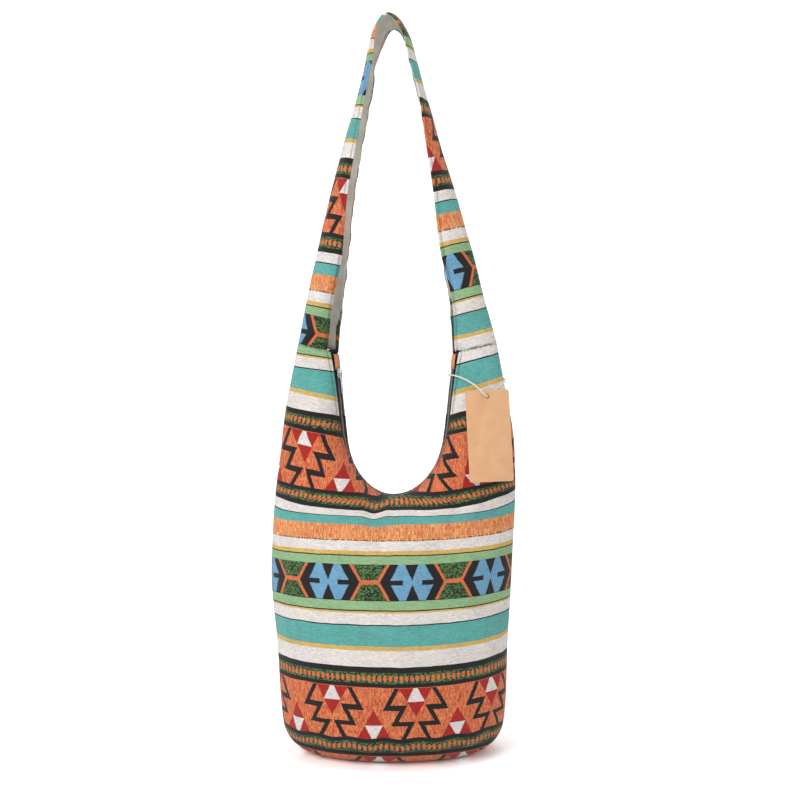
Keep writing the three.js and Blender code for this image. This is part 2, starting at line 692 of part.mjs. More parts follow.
// The hang tag: a card with rounded corners and a hole, hung by a cord that runs round the right horn
// It follows the slope of the horn and stands a little in front of it
const TAG_DROP = 58;
const TAG_ACROSS = 0.634;
const TAG_STAND = 3.9;
const TAG_FOLLOW = 0.857;
const TAG_ROLL = THREE.MathUtils.degToRad(-2.3);
function tagPlace() {
  const top = HORN_TOP - TAG_DROP;
  const inner = mouthXAt(RIGHT, top, 0);
  const x = lerp(inner, halfWidthAt(RIGHT, top), TAG_ACROSS);
  const slope = (halfDepthAt(top - TAG_HEIGHT) - halfDepthAt(top)) / TAG_HEIGHT;
  const tilt = Math.asin(TAG_FOLLOW * slope);
  const turn = new THREE.Euler(Math.PI / 2 - tilt, TAG_ROLL, 0, "YXZ");
  const place = new THREE.Matrix4().makeRotationFromEuler(turn);
  return place.setPosition(x, -halfDepthAt(top) - TAG_STAND, top);
}
function tagGeometry() {
  const [half, r] = [TAG_WIDTH / 2, TAG_CORNER];
  const card = new THREE.Shape();
  card.moveTo(-half + r, -TAG_HEIGHT);
  card.absarc(half - r, -TAG_HEIGHT + r, r, -Math.PI / 2, 0, false);
  card.absarc(half - r, -r, r, 0, Math.PI / 2, false);
  card.absarc(-half + r, -r, r, Math.PI / 2, Math.PI, false);
  card.absarc(-half + r, -TAG_HEIGHT + r, r, Math.PI, 1.5 * Math.PI, false);
  card.holes.push(new THREE.Path().absarc(0, -TAG_HOLE_DROP, TAG_HOLE, 0, 2 * Math.PI, true));
  return toGeometry(plate(card, TAG_THICKNESS, -TAG_THICKNESS / 2, 6));
}
const TAG_CORD_ROUTE = [
  [114.6, -25.8, 439],
  [113.9, -28.6, 437.5],
  [113.4, -32, 437],
  [109.5, -34.5, 440.5],
  [104, -34, 446],
  [97, -31.8, 452],
  [89, -28.5, 457],
  [80, -22.5, 461],
  [73.5, -13.5, 463],
  [69, -5, 463.5],
  [67.8, 3.5, 464],
  [69.2, 11.5, 464],
  [74.5, 19.5, 464],
  [85, 24.5, 463.5],
  [99, 26.5, 462.5],
  [113, 25, 461.5],
  [126, 18.5, 460.5],
  [134.5, 8, 459.5],
  [138, -3.5, 458],
  [136.5, -13.5, 455],
  [130.5, -21.5, 450.5],
  [123, -25, 445.5],
  [117.5, -26, 441.5],
];
function cordGeometry() {
  const path = new THREE.CatmullRomCurve3(TAG_CORD_ROUTE.map((p) => new THREE.Vector3(...p)));
  const section = new THREE.Shape().absarc(0, 0, CORD_DIAMETER / 2, 0, 2 * Math.PI, false);
  const options = { steps: 60, extrudePath: path, curveSegments: 4, bevelEnabled: false };
  const tube = new THREE.ExtrudeGeometry(section, options);
  for (const name of ["normal", "uv"]) tube.deleteAttribute(name);
  return facingOut(mergeVertices(tube, 1e-4));
}

const finish = (color, roughness, metalness = 0) =>
  new THREE.MeshStandardMaterial({ color, roughness, metalness });
const jacquard = finish(0xd07041, 0.85);
const lining = finish(0xb9b6ae, 0.9);
const blackTape = finish(0x22201f, 0.8);
const greyCoil = finish(0xa8a8a6, 0.5);
const metal = finish(0xb9b9bb, 0.3, 1);
const kraft = finish(0xe6b588, 0.9);
const cream = finish(0xf2eee0, 0.9);

const bag = new THREE.Group();
function add(name, geometry, material, place = new THREE.Matrix4()) {
  const mesh = new THREE.Mesh(geometry, material);
  mesh.name = name;
  mesh.applyMatrix4(place);
  bag.add(mesh);
}

const LINING_INSET = CLOTH + 2 * LAYER_GAP + TAPE_THICKNESS + TAPE_TUCK;
for (const [face, name] of [
  [FRONT, "front"],
  [BACK, "back"],
]) {
  add(`${name}_panel`, panelGeometry(face, 0, CLOTH), jacquard);
  add(`${name}_lining`, panelGeometry(face, LINING_INSET, LINING), lining);
  add(`zipper_tape_${name}`, tapeGeometry(face), blackTape);
  add(`zipper_coil_${name}`, coilGeometry(face), greyCoil);
}
add("base_panel", baseGeometry(0, CLOTH), jacquard);
add("base_lining", baseGeometry(LINING_INSET, LINING), lining);
for (const [side, name] of [
  [LEFT, "left"],
  [RIGHT, "right"],
]) {
  add(`strap_outer_${name}`, strapGeometry(side, 0, CLOTH), jacquard);
  add(`strap_lining_${name}`, strapGeometry(side, CLOTH + LAYER_GAP, LINING), lining);
  add(`zipper_end_tab_${name}`, tabGeometry(), jacquard, zipPlace(side, TAB_TOP));
}
const sliderFromTop = SLIDER_DROP * Math.hypot(1, STRAIGHT_LEAN);
const sliderPlace = zipPlace(LEFT, sliderFromTop);
add("zipper_slider", sliderGeometry(), metal, sliderPlace);
add("zipper_pull", pullGeometry(), metal, sliderPlace);
add("hang_tag", tagGeometry(), kraft, tagPlace());
add("tag_cord", cordGeometry(), cream);

export default bag;
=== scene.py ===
"""Visual model of a soft woven shoulder bag, made round its packed construction frame.

The bag stands on an oval base. Two horns rise round a zipped U-shaped mouth and run into one wide
strap, and a bare kraft tag hangs on a cord from the right horn. Shapes are worked out in millimetres
and become metres when a mesh is made. Every cloth piece carries a UV map in millimetres of fabric: u
across the cloth and v up it, so that one woven pattern runs over all of them.
"""

from __future__ import annotations

import logging
import math
from dataclasses import dataclass, field
from enum import Enum
from typing import Callable, Iterable, Sequence

import bmesh
import bpy
import numpy as np
from mathutils import Matrix, Vector

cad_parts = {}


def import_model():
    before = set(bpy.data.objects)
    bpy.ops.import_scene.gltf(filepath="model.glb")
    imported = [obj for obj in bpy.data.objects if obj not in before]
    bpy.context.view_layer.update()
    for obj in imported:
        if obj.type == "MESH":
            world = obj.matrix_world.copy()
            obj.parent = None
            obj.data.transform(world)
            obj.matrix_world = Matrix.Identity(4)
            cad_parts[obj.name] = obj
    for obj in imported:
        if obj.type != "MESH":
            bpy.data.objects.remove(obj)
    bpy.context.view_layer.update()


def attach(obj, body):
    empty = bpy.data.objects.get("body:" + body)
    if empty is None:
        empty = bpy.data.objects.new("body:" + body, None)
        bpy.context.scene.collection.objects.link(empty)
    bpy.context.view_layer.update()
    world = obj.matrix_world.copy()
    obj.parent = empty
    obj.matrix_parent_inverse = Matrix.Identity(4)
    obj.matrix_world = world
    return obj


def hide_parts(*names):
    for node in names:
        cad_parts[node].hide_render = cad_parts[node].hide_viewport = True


LOG = logging.getLogger("bag")
MM = 0.001
# The point attribute that holds painted shade in seams and topstitched grooves and darkens the jacquard's
# colour.
WEAVE_MAP = "weave"
PAINTED_SHADE_MAP = "painted_shade"
FINE_MERGE = 1e-7

Array = np.ndarray
Colour = tuple[float, float, float]
Outline = list[tuple[float, float]]
Socket = bpy.types.NodeSocket
Piece = bpy.types.Object


def srgb(red: int, green: int, blue: int) -> Colour:
    """A colour as seen, 0 to 255 a channel, in the linear numbers that shaders take."""

    def linear(level: float) -> float:
        return level / 12.92 if level <= 0.04045 else ((level + 0.055) / 1.055) ** 2.4

    return tuple(linear(channel / 255) for channel in (red, green, blue))


def math_operator(operation: str) -> Callable[[Signal, Signal | float], Signal]:
    """A method that joins two shader values by one operation."""

    def method(self: Signal, other: Signal | float) -> Signal:
        return self.math(operation, other)

    return method


class Signal:
    """A shader value that Python arithmetic extends with Math nodes."""

    def __init__(self, graph: Graph, socket: Socket) -> None:
        """Keeps the socket and the graph that it belongs to."""
        self.graph = graph
        self.socket = socket

    def math(self, operation: str, *others: Signal | float, clamped: bool = False) -> Signal:
        """Adds one Math node.

        Args:
            operation: The node's operation.
            others: The second and third values.
            clamped: Whether the result is held between 0 and 1.

        Returns:
            The node's result.
        """
        settings = {"operation": operation, "use_clamp": clamped}
        node = self.graph.node("ShaderNodeMath", settings, {0: self, **dict(enumerate(others, 1))})
        return Signal(self.graph, node.outputs[0])

    __add__ = __radd__ = math_operator("ADD")
    __sub__ = math_operator("SUBTRACT")
    __mul__ = __rmul__ = __and__ = math_operator("MULTIPLY")
    __truediv__ = math_operator("DIVIDE")
    __lt__ = math_operator("LESS_THAN")
    __gt__ = math_operator("GREATER_THAN")
    __or__ = math_operator("MAXIMUM")
    __mod__ = math_operator("FLOORED_MODULO")

    def __rsub__(self, other: float) -> Signal:
        """A number less this value."""
        return (self * -1.0) + other

    def __invert__(self) -> Signal:
        """The mask turned round."""
        return 1.0 - self

    def __abs__(self) -> Signal:
        """The size without the sign."""
        return self.math("ABSOLUTE")

    def fold(self, period: float) -> Signal:
        """The distance to the nearest multiple of the period."""
        return self.math("PINGPONG", period / 2)

    def between(self, low: float, high: float) -> Signal:
        """1 from low to high."""
        return (self > low) & (self < high)

    def ease(self, low: float, high: float) -> Signal:
        """A straight rise from 0 at low to 1 at high."""
        return ((self - low) / (high - low)).math("ADD", 0.0, clamped=True)


class Graph:
    """The node tree of one material, with a Principled shader at its end."""

    def __init__(self, name: str) -> None:
        """Makes the material and clears its tree."""
        self.material = bpy.data.materials.new(name)
        self.material.use_nodes = True
        self.tree = self.material.node_tree
        self.tree.nodes.clear()

    def node(self, kind: str, settings: dict | None = None, inputs: dict | None = None) -> bpy.types.Node:
        """Adds a node.

        Args:
            kind: The node's type.
            settings: Properties to set first; stops holds a ramp's places and colours.
            inputs: Values or links by socket name or number.

        Returns:
            The new node.
        """
        node = self.tree.nodes.new(kind)
        for name, value in (settings or {}).items():
            if name == "stops":
                self._set_stops(node.color_ramp, value)
            else:
                setattr(node, name, value)
        for name, value in (inputs or {}).items():
            socket = node.inputs[name]
            if isinstance(value, Signal):
                self.tree.links.new(value.socket, socket)
            elif isinstance(value, Socket):
                self.tree.links.new(value, socket)
            else:
                socket.default_value = value
        return node

    @staticmethod
    def _set_stops(ramp: bpy.types.ColorRamp, stops: Sequence[tuple[float, Colour]]) -> None:
        """Gives a ramp its places and then its colours, because a moved stop changes its neighbours."""
        for _ in range(len(stops) - 2):
            ramp.elements.new(0.5)
        for element, (place, colour) in zip(ramp.elements, stops):
            element.position = place
        for element, (place, colour) in zip(ramp.elements, stops):
            element.color = (*colour, 1.0)

    def cloth_place(self) -> tuple[Signal, Signal]:
        """The place on the cloth in millimetres, as u and v."""
        places = self.node("ShaderNodeUVMap", {"uv_map": WEAVE_MAP})
        split = self.node("ShaderNodeSeparateXYZ", None, {0: places.outputs[0]})
        return Signal(self, split.outputs[0]), Signal(self, split.outputs[1])

    def vector(self, x: Signal | float, y: Signal | float, z: Signal | float = 0.0) -> Socket:
        """Three values as one vector."""
        return self.node("ShaderNodeCombineXYZ", None, {0: x, 1: y, 2: z}).outputs[0]

    def object_place(self) -> Socket:
        """The place in the object's own space, in metres."""
        return self.node("ShaderNodeTexCoord").outputs["Object"]

    def noise(self, place: Socket, scale: float, detail: float = 2.0) -> Signal:
        """Soft noise from about 0 to 1."""
        inputs = {"Vector": place, "Scale": scale, "Detail": detail}
        return Signal(self, self.node("ShaderNodeTexNoise", None, inputs).outputs[0])

    def flecks(self, place: Socket) -> Signal:
        """A random level for each whole step of the place."""
        cell = self.node("ShaderNodeVectorMath", {"operation": "FLOOR"}, {0: place})
        white = self.node("ShaderNodeTexWhiteNoise", {"noise_dimensions": "3D"}, {0: cell.outputs[0]})
        return Signal(self, white.outputs[0])

    def steps(self, value: Signal, stops: Sequence[tuple[float, Colour]]) -> Socket:
        """Plain colours along a value from 0 to 1, each from its own place on."""
        node = self.node("ShaderNodeValToRGB", {"stops": stops}, {0: value})
        node.color_ramp.interpolation = "CONSTANT"
        return node.outputs[0]

    def mix(
        self,
        share: Signal | float,
        below: Colour | Socket,
        above: Colour | Socket,
        blend: str = "MIX",
    ) -> Socket:
        """Lays one colour over another.

        Args:
            share: How much of the upper colour shows.
            below: The lower colour.
            above: The upper colour.
            blend: How the two are joined.

        Returns:
            The mixed colour.
        """
        settings = {"data_type": "RGBA", "blend_type": blend, "clamp_factor": True}
        whole = [(*c, 1.0) if isinstance(c, tuple) else c for c in (below, above)]
        return self.node("ShaderNodeMix", settings, {0: share, 6: whole[0], 7: whole[1]}).outputs[2]

    def shade(self, colour: Colour | Socket, level: Signal) -> Socket:
        """A colour times a level."""
        grey = self.node("ShaderNodeCombineColor", None, {0: level, 1: level, 2: level}).outputs[0]
        return self.mix(1.0, colour, grey, "MULTIPLY")

    def bump(self, height: Signal, depth: float, strength: float = 1.0) -> Socket:
        """A normal from a height; depth is the height of 1, in metres."""
        inputs = {"Strength": strength, "Distance": depth, "Height": height}
        return self.node("ShaderNodeBump", None, inputs).outputs[0]

    def finish(self, inputs: dict) -> bpy.types.Material:
        """Ends the graph with a Principled shader that has these inputs."""
        shader = self.node("ShaderNodeBsdfPrincipled", None, inputs)
        output = self.node("ShaderNodeOutputMaterial")
        self.tree.links.new(shader.outputs[0], output.inputs[0])
        return self.material


class Side(Enum):
    """The bag's two sides, by the sign of x."""

    LEFT = -1
    RIGHT = 1


class Face(Enum):
    """The bag's two faces, by the sign of y."""

    FRONT = -1
    BACK = 1


def smooth_rise(value: Array | float, low: float, high: float) -> Array:
    """A smooth step from 0 at low to 1 at high."""
    t = np.clip((np.asarray(value, float) - low) / (high - low), 0.0, 1.0)
    return t * t * (3 - 2 * t)


def quarter_round(t: Array) -> Array:
    """A quarter round: 0 at its edge with an upright tangent, 1 from its full length on."""
    return np.sqrt(1 - (1 - np.clip(t, 0.0, 1.0)) ** 2)


def through(stations: Sequence[tuple[float, ...]], at: Array | float, column: int = 1) -> Array:
    """A smooth cubic through stations.

    Args:
        stations: Rows whose first column rises.
        at: Where to read.
        column: The column to read.

    Returns:
        The value there, and the end value past an end.
    """
    table = np.array([[row[0], row[column]] for row in stations], float)
    places, values = table.T
    before = np.maximum(np.arange(len(table)) - 1, 0)
    after = np.minimum(np.arange(len(table)) + 1, len(table) - 1)
    slopes = (values[after] - values[before]) / (places[after] - places[before])
    at = np.asarray(at, float)
    i = np.clip(np.searchsorted(places, at, side="right") - 1, 0, len(table) - 2)
    span = places[i + 1] - places[i]
    t = np.clip((at - places[i]) / span, 0.0, 1.0)
    blend = t * t * (3 - 2 * t)
    leave = slopes[i] * span * t * (1 - t) ** 2
    arrive = slopes[i + 1] * span * t * t * (1 - t)
    return values[i] + (values[i + 1] - values[i]) * blend + leave - arrive


def lerp(start: Array | float, end: Array | float, share: Array | float) -> Array:
    """The value between start and end."""
    return start + (end - start) * share


def waves(
    places: Array, pitch: float, height: float, seed: int, count: int = 6, grow: float = 1.7
) -> Array:
    """Soft seeded undulation made of crossing sine waves.

    Args:
        places: Points, one row each, in millimetres.
        pitch: The longest wave's length.
        height: The usual height of the sum.
        seed: Which undulation.
        count: How many waves are added.
        grow: How much finer each wave is than the one before.

    Returns:
        One height for each point.
    """
    draw = np.random.default_rng(seed)
    total = np.zeros(places.shape[:-1])
    for step in range(count):
        finer = grow ** (step / 2)
        way = draw.normal(size=places.shape[-1])
        way *= 2 * math.pi * finer / pitch / np.linalg.norm(way)
        total += np.sin(places @ way + draw.uniform(0, 2 * math.pi)) / finer
    return height * total / math.sqrt(count)


def unit(ways: Array) -> Array:
    """Directions with a length of 1."""
    return ways / np.maximum(np.linalg.norm(ways, axis=-1, keepdims=True), 1e-9)


def run_along(line: Array) -> Array:
    """Distances along a line of points from its first one."""
    return np.concatenate([[0], np.cumsum(np.linalg.norm(np.diff(line, axis=0), axis=1))])


def arc_along(grid: Array) -> Array:
    """Distances along each row of a grid from its first column."""
    return np.stack([run_along(row) for row in grid])


def read_along(line: Array, places: Array, at: Array | float) -> Array:
    """The columns of a line, read at distances along it.

    Args:
        line: One row for each place.
        places: The rows' distances.
        at: Where to read.

    Returns:
        The row there, or one row for each distance.
    """
    return np.stack([np.interp(at, places, column) for column in line.T], axis=-1)


def distance_to_line(points: Array, line: Array) -> Array:
    """Distances of points from a line of straight stretches.

    Args:
        points: Points of any number of rows and columns.
        line: The line's points.

    Returns:
        One distance for each point.
    """
    best = np.full(points.shape[:-1], np.inf)
    for start, end in zip(line, line[1:]):
        run = end - start
        share = np.clip((points - start) @ run / max(run @ run, 1e-12), 0, 1)
        best = np.minimum(best, np.linalg.norm(points - start - share[..., None] * run, axis=-1))
    return best


def normals_of(grid: Array) -> Array:
    """Unit normals of a grid, across its rows and columns."""
    return unit(np.cross(np.gradient(grid, axis=1), np.gradient(grid, axis=0)))


def full_circle(sides: int) -> Array:
    """Angles round a circle, with the first one again as the last."""
    return np.append(np.linspace(0, 2 * math.pi, sides, endpoint=False), 0.0)


def tube(middle: Array, first: Array, second: Array, radius: Array | float, sides: int) -> Array:
    """Rings round a line.

    Args:
        middle: The line's points.
        first: Unit directions across the line, one or one for each point.
        second: Unit directions across the line and the first.
        radius: The radius throughout or at each point.
        sides: How many faces go round.

    Returns:
        A grid with one row for each point.
    """
    turn = full_circle(sides)[:, None]
    ring = np.atleast_2d(first)[:, None] * np.cos(turn) + np.atleast_2d(second)[:, None] * np.sin(turn)
    return middle[:, None] + ring * np.atleast_1d(radius)[:, None, None]


@dataclass(frozen=True)
class BagForm:
    """The shape of the filled bag and of the cloth on it, in millimetres."""

    half_width: float = 151
    half_depth: float = 85
    horn_top: float = 503
    loop_top: float = 914
    mouth_bottom: float = 315
    seam_height: float = 19
    corner_radius: float = 37
    cloth: float = 1.2
    lining: float = 0.6
    tape: float = 0.5
    layer_gap: float = 0.5
    seam_gap: float = 0.4
    mouth_half_width: tuple[float, float] = (71, 75)
    mouth_top_drop: float = 11
    straight_run: float = 90
    straight_lean: float = 0.096
    bend_reach: float = 0.6
    sweep_reach: float = 0.5
    crest_half_width: float = 6
    crest_rounding: float = 38
    horn_rounding: float = 0.7
    horn_blend: float = 110
    lean_slope: float = math.tan(math.radians(12))
    left_lean: float = math.tan(math.radians(17))
    lean_rise: float = 30
    lean_fade: float = 110
    strap_twist: float = math.radians(-8)
    twist_rise: float = 190
    left_untwist: float = 0.6
    arm_zone: tuple[float, float] = (2, 14)
    apex_zone: tuple[float, float] = (845, 895)
    settle: float = 6
    settle_zone: tuple[float, float] = (700, 914)
    mouth_samples: int = 160
    straight_samples: int = 200
    curve_samples: int = 400
    bare_tape: float = 4.2
    left_outline: tuple = (
        (0, 0.868), (0.12, 0.92), (0.26, 0.95), (0.38, 0.99), (0.45, 1),
        (0.62, 0.972), (0.77, 0.907), (0.87, 0.859), (1, 0.779),
    )  # fmt: skip
    right_outline: tuple = (
        (0, 0.868), (0.12, 0.918), (0.26, 0.934), (0.38, 0.958), (0.5, 0.978),
        (0.63, 1), (0.7, 0.997), (0.77, 0.982), (0.87, 0.925), (1, 0.846),
    )  # fmt: skip
    depth_outline: tuple = (
        (0, 0.94), (0.1, 1), (0.3, 1), (0.46, 0.92), (0.54, 0.8), (0.6, 0.68),
        (0.66, 0.58), (0.74, 0.47), (0.82, 0.37), (0.92, 0.24), (1, 0.165),
    )  # fmt: skip

    @property
    def mouth_top(self) -> float:
        """The height of the mouth's upper ends."""
        return self.horn_top - self.mouth_top_drop

    def corner_inset(self, z: Array | float) -> Array:
        """How far the base corner pulls the outline in."""
        left = self.corner_radius - np.minimum(z, self.corner_radius)
        return self.corner_radius - np.sqrt(self.corner_radius**2 - left**2)

    def half_width_at(self, side: Side, z: Array | float) -> Array:
        """The distance from the middle to the side seam."""
        outline = self.left_outline if side is Side.LEFT else self.right_outline
        return self.half_width * through(outline, z / self.horn_top) - self.corner_inset(z)

    def half_depth_at(self, z: Array | float) -> Array:
        """The distance from the middle plane to the fullest point of a face."""
        share = through(self.depth_outline, z / self.horn_top)
        return self.half_depth * share - self.corner_inset(z)

    def mouth_line(self, side: Side, inset: float = 0.0) -> tuple[Array, Array, Array]:
        """The mouth's edge from its top down to its lowest point.

        Args:
            side: Which half.
            inset: How far the line lies inside the edge.

        Returns:
            Points as x and z, unit directions down the line, and distances along the edge.
        """
        sign = side.value
        top = np.array([sign * self.mouth_half_width[0 if sign < 0 else 1], self.mouth_top])
        down = unit(np.array([-sign * self.straight_lean, -1.0]))
        foot = top + down * self.straight_run
        drop = foot[1] - self.mouth_bottom
        bend = foot + down * self.bend_reach * drop
        sweep = np.array([self.sweep_reach * foot[0], self.mouth_bottom])
        bottom = np.array([0.0, self.mouth_bottom])
        t = np.linspace(0, 1, self.curve_samples)[:, None]
        curve = (1 - t) ** 3 * foot + 3 * t * (1 - t) ** 2 * bend + 3 * t**2 * (1 - t) * sweep
        curve += t**3 * bottom
        line = np.vstack([top + (foot - top) * np.linspace(0, 1, self.straight_samples)[:-1, None], curve])
        along = run_along(line)
        even = np.linspace(0, along[-1], self.mouth_samples + 1)
        points = read_along(line, along, even)
        ways = unit(np.gradient(points, axis=0))
        into = np.stack([-sign * ways[:, 1], sign * ways[:, 0]], axis=1)
        return points + inset * into, ways, even

    def hem_inset(self, z: Array) -> Array:
        """How far in the hem lies where it leaves this much of the zip's tape bare."""
        full = self.half_depth_at(z) - self.crest_half_width
        share = np.minimum(self.bare_tape / full, 0.5)
        return self.crest_rounding * (1 - np.sqrt(1 - share**2))

    def mouth_x(self, side: Side, z: Array, inset: float = 0.0, hemmed: bool = False) -> Array:
        """Where the mouth's edge stands at a height.

        Args:
            side: Which half.
            z: Heights.
            inset: How far inside the edge.
            hemmed: Whether the panels' hem is meant, which leaves the zip's tape bare.

        Returns:
            Places across.
        """
        points, ways, _ = self.mouth_line(side, inset)
        if hemmed:
            points = self.mouth_line(side, inset + self.hem_inset(points[:, 1])[:, None])[0]
        points = np.vstack([points[0] - ways[0] * self.straight_run, points])
        return np.interp(z, points[::-1, 1], points[::-1, 0])

    def mouth_distance(self, x: Array, z: Array) -> Array:
        """How far points of the middle plane are from the mouth's edge.

        Args:
            x: Places across.
            z: Heights.

        Returns:
            One distance for each point.
        """
        result = np.full(np.shape(x), np.inf)
        for side in Side:
            points, ways, _ = self.mouth_line(side)
            points = np.vstack([points[0] - ways[0] * self.straight_run, points])
            own = (x * side.value > 0) | ((x == 0) & (side is Side.RIGHT))
            result[own] = distance_to_line(np.stack([x[own], z[own]], axis=1), points)
        return result

    def depth_at(self, x: Array, z: Array, inset: float = 0.0) -> Array:
        """How far a skin stands from the middle plane.

        Args:
            x: Places across.
            z: Heights.
            inset: How far the skin lies under the cloth's outside.

        Returns:
            One distance for each point.
        """
        left = x < 0
        outer = np.where(left, *(self.half_width_at(side, z) for side in Side))
        inner = np.where(left, -self.mouth_x(Side.LEFT, z), self.mouth_x(Side.RIGHT, z))
        width = outer - np.where(z > self.mouth_bottom, inner, 0)
        horn = smooth_rise(z, self.mouth_bottom, self.mouth_bottom + self.horn_blend)
        side_rounding = lerp(outer, self.horn_rounding * width, horn)
        from_side = quarter_round((outer - np.abs(x) - inset) / (side_rounding - inset))
        rounding = np.minimum(self.crest_rounding, width / 2)
        from_mouth = quarter_round((self.mouth_distance(x, z) - inset) / rounding)
        full = self.half_depth_at(z) - inset
        crest = np.minimum(self.crest_half_width, full)
        return from_side * (crest + (full - crest) * from_mouth)

    def hang(self, points: Array) -> Array:
        """Leans the horns' sections and twists the strap, as the finished bag hangs.

        Args:
            points: Points of the upright bag.

        Returns:
            The points, each where it hangs.
        """
        x, y, z = np.moveaxis(points, -1, 0)
        lean = smooth_rise(z, self.mouth_bottom + self.lean_rise, self.mouth_top - self.straight_run)
        lean = lean * (1 - smooth_rise(z, self.horn_top, self.horn_top + self.lean_fade))
        slope = np.where(x < 0, self.left_lean, self.lean_slope)
        x = x - np.sign(x) * slope * lean * y
        rise = smooth_rise(z, self.horn_top, self.horn_top + self.twist_rise)
        left_arm = smooth_rise(-x, *self.arm_zone) * (1 - smooth_rise(z, *self.apex_zone))
        twist = self.strap_twist * rise * (1 - self.left_untwist * left_arm)
        cos, sin = np.cos(twist), np.sin(twist)
        z = z - self.settle * smooth_rise(z, *self.settle_zone)
        return np.stack([x * cos - y * sin, x * sin + y * cos, z], axis=-1)


FOOT, TOP, FIRST, LAST = np.s_[0], np.s_[-1], np.s_[:, 0], np.s_[:, -1]
RIMS = (FOOT, TOP, FIRST, LAST)


@dataclass
class Skin:
    """Quads gathered from grids of points, each corner with its place on the cloth."""

    points: list[Array] = field(default_factory=list)
    places: list[Array] = field(default_factory=list)
    painted_shades: list[Array] = field(default_factory=list)
    quads: list[Array] = field(default_factory=list)
    count: int = 0

    def add_grid(self, points: Array, places: Array, painted_shade: Array | float = 0.0) -> None:
        """Adds one grid.

        Args:
            points: Rows by columns by three, in millimetres.
            places: Rows by columns by two, on the cloth in millimetres.
            painted_shade: How dark each point is painted, as painted shade in a seam or a fold, from 0 to
                1.
        """
        rows, columns = points.shape[:2]
        number = np.arange(rows * columns).reshape(rows, columns) + self.count
        corners = [number[:-1, :-1], number[:-1, 1:], number[1:, 1:], number[1:, :-1]]
        self.points.append(points.reshape(-1, 3))
        self.places.append(places.reshape(-1, 2))
        self.painted_shades.append(np.broadcast_to(painted_shade, (rows, columns)).ravel())
        self.quads.append(np.stack(corners, axis=-1).reshape(-1, 4))
        self.count += rows * columns

    def add_cloth(
        self, outer: Array, inner: Array, places: Array, edges: Sequence, painted_shade: Array | float = 0.0
    ) -> None:
        """Adds both skins of a cloth and closes them along some edges.

        Args:
            outer: The outer skin.
            inner: The inner skin, matched to it.
            places: Where both lie on the cloth.
            edges: The edges to close, each as an index of a grid.
            painted_shade: How dark each point of the outer skin is painted, as painted shade.
        """
        self.add_grid(outer, places, painted_shade)
        self.add_grid(inner, places)
        for edge in edges:
            self.add_grid(np.stack([inner[edge], outer[edge]]), np.stack([places[edge]] * 2))

    def add_roll(self, hem: Hem, outer: Array, inner: Array, places: Array, lead: float = 0.0) -> None:
        """Rolls a hem over a cloth's edge.

        Args:
            hem: The hem.
            outer: The outer skin, whose last column is the folded edge.
            inner: The inner skin, matched to it.
            places: Where both lie on the cloth.
            lead: How far the roll leads across the cloth.
        """
        rolled = np.stack([outer[:, -1], *hem.columns(outer, inner), inner[:, -1]], axis=1)
        rolled_places = np.repeat(places[:, -1:], rolled.shape[1], axis=1)
        rolled_places[..., 0] += np.linspace(0, lead, rolled.shape[1])
        self.add_grid(rolled, rolled_places)

    def make(self, name: str, merge: float = 2e-6) -> Piece:
        """Makes the object, its doubles merged and its faces turned outwards and smooth.

        Args:
            name: The piece's name.
            merge: How near two points are one, in metres.

        Returns:
            The object, at the origin.
        """
        mesh = bpy.data.meshes.new(name)
        quads = np.vstack(self.quads)
        mesh.from_pydata((np.vstack(self.points) * MM).tolist(), [], quads.tolist())
        layer = mesh.uv_layers.new(name=WEAVE_MAP)
        layer.uv.foreach_set("vector", np.vstack(self.places)[quads.ravel()].astype(np.float32).ravel())
        # Painted shade in seams and grooves, kept as a point attribute for the jacquard.
        dark = mesh.attributes.new(PAINTED_SHADE_MAP, "FLOAT", "POINT")
        dark.data.foreach_set("value", np.concatenate(self.painted_shades).astype(np.float32))
        shape = bmesh.new()
        shape.from_mesh(mesh)
        bmesh.ops.remove_doubles(shape, verts=shape.verts, dist=merge)
        bmesh.ops.dissolve_degenerate(shape, edges=shape.edges, dist=merge)
        bmesh.ops.recalc_face_normals(shape, faces=shape.faces)
        shape.to_mesh(mesh)
        shape.free()
        mesh.polygons.foreach_set("use_smooth", [True] * len(mesh.polygons))
        piece = bpy.data.objects.new(name, mesh)
        bpy.context.scene.collection.objects.link(piece)
        return piece


@dataclass(frozen=True)
class Hem:
    """A rounded fold between the outer and the inner skin of a cloth piece."""

    steps: int = 4
    swell: float = 0.5

    def columns(self, outer: Array, inner: Array) -> list[Array]:
        """Columns that turn from the outer skin's last column to the inner skin's.

        Args:
            outer: The outer skin, whose last column is the folded edge.
            inner: The inner skin, matched to it.

        Returns:
            The columns between the two skins.
        """
        start, end = outer[:, -1], inner[:, -1]
        way = unit(outer[:, -1] - outer[:, -2]) * self.swell
        shares = [step / self.steps for step in range(1, self.steps)]
        return [lerp(start, end, t) + way * math.sin(math.pi * t) for t in shares]


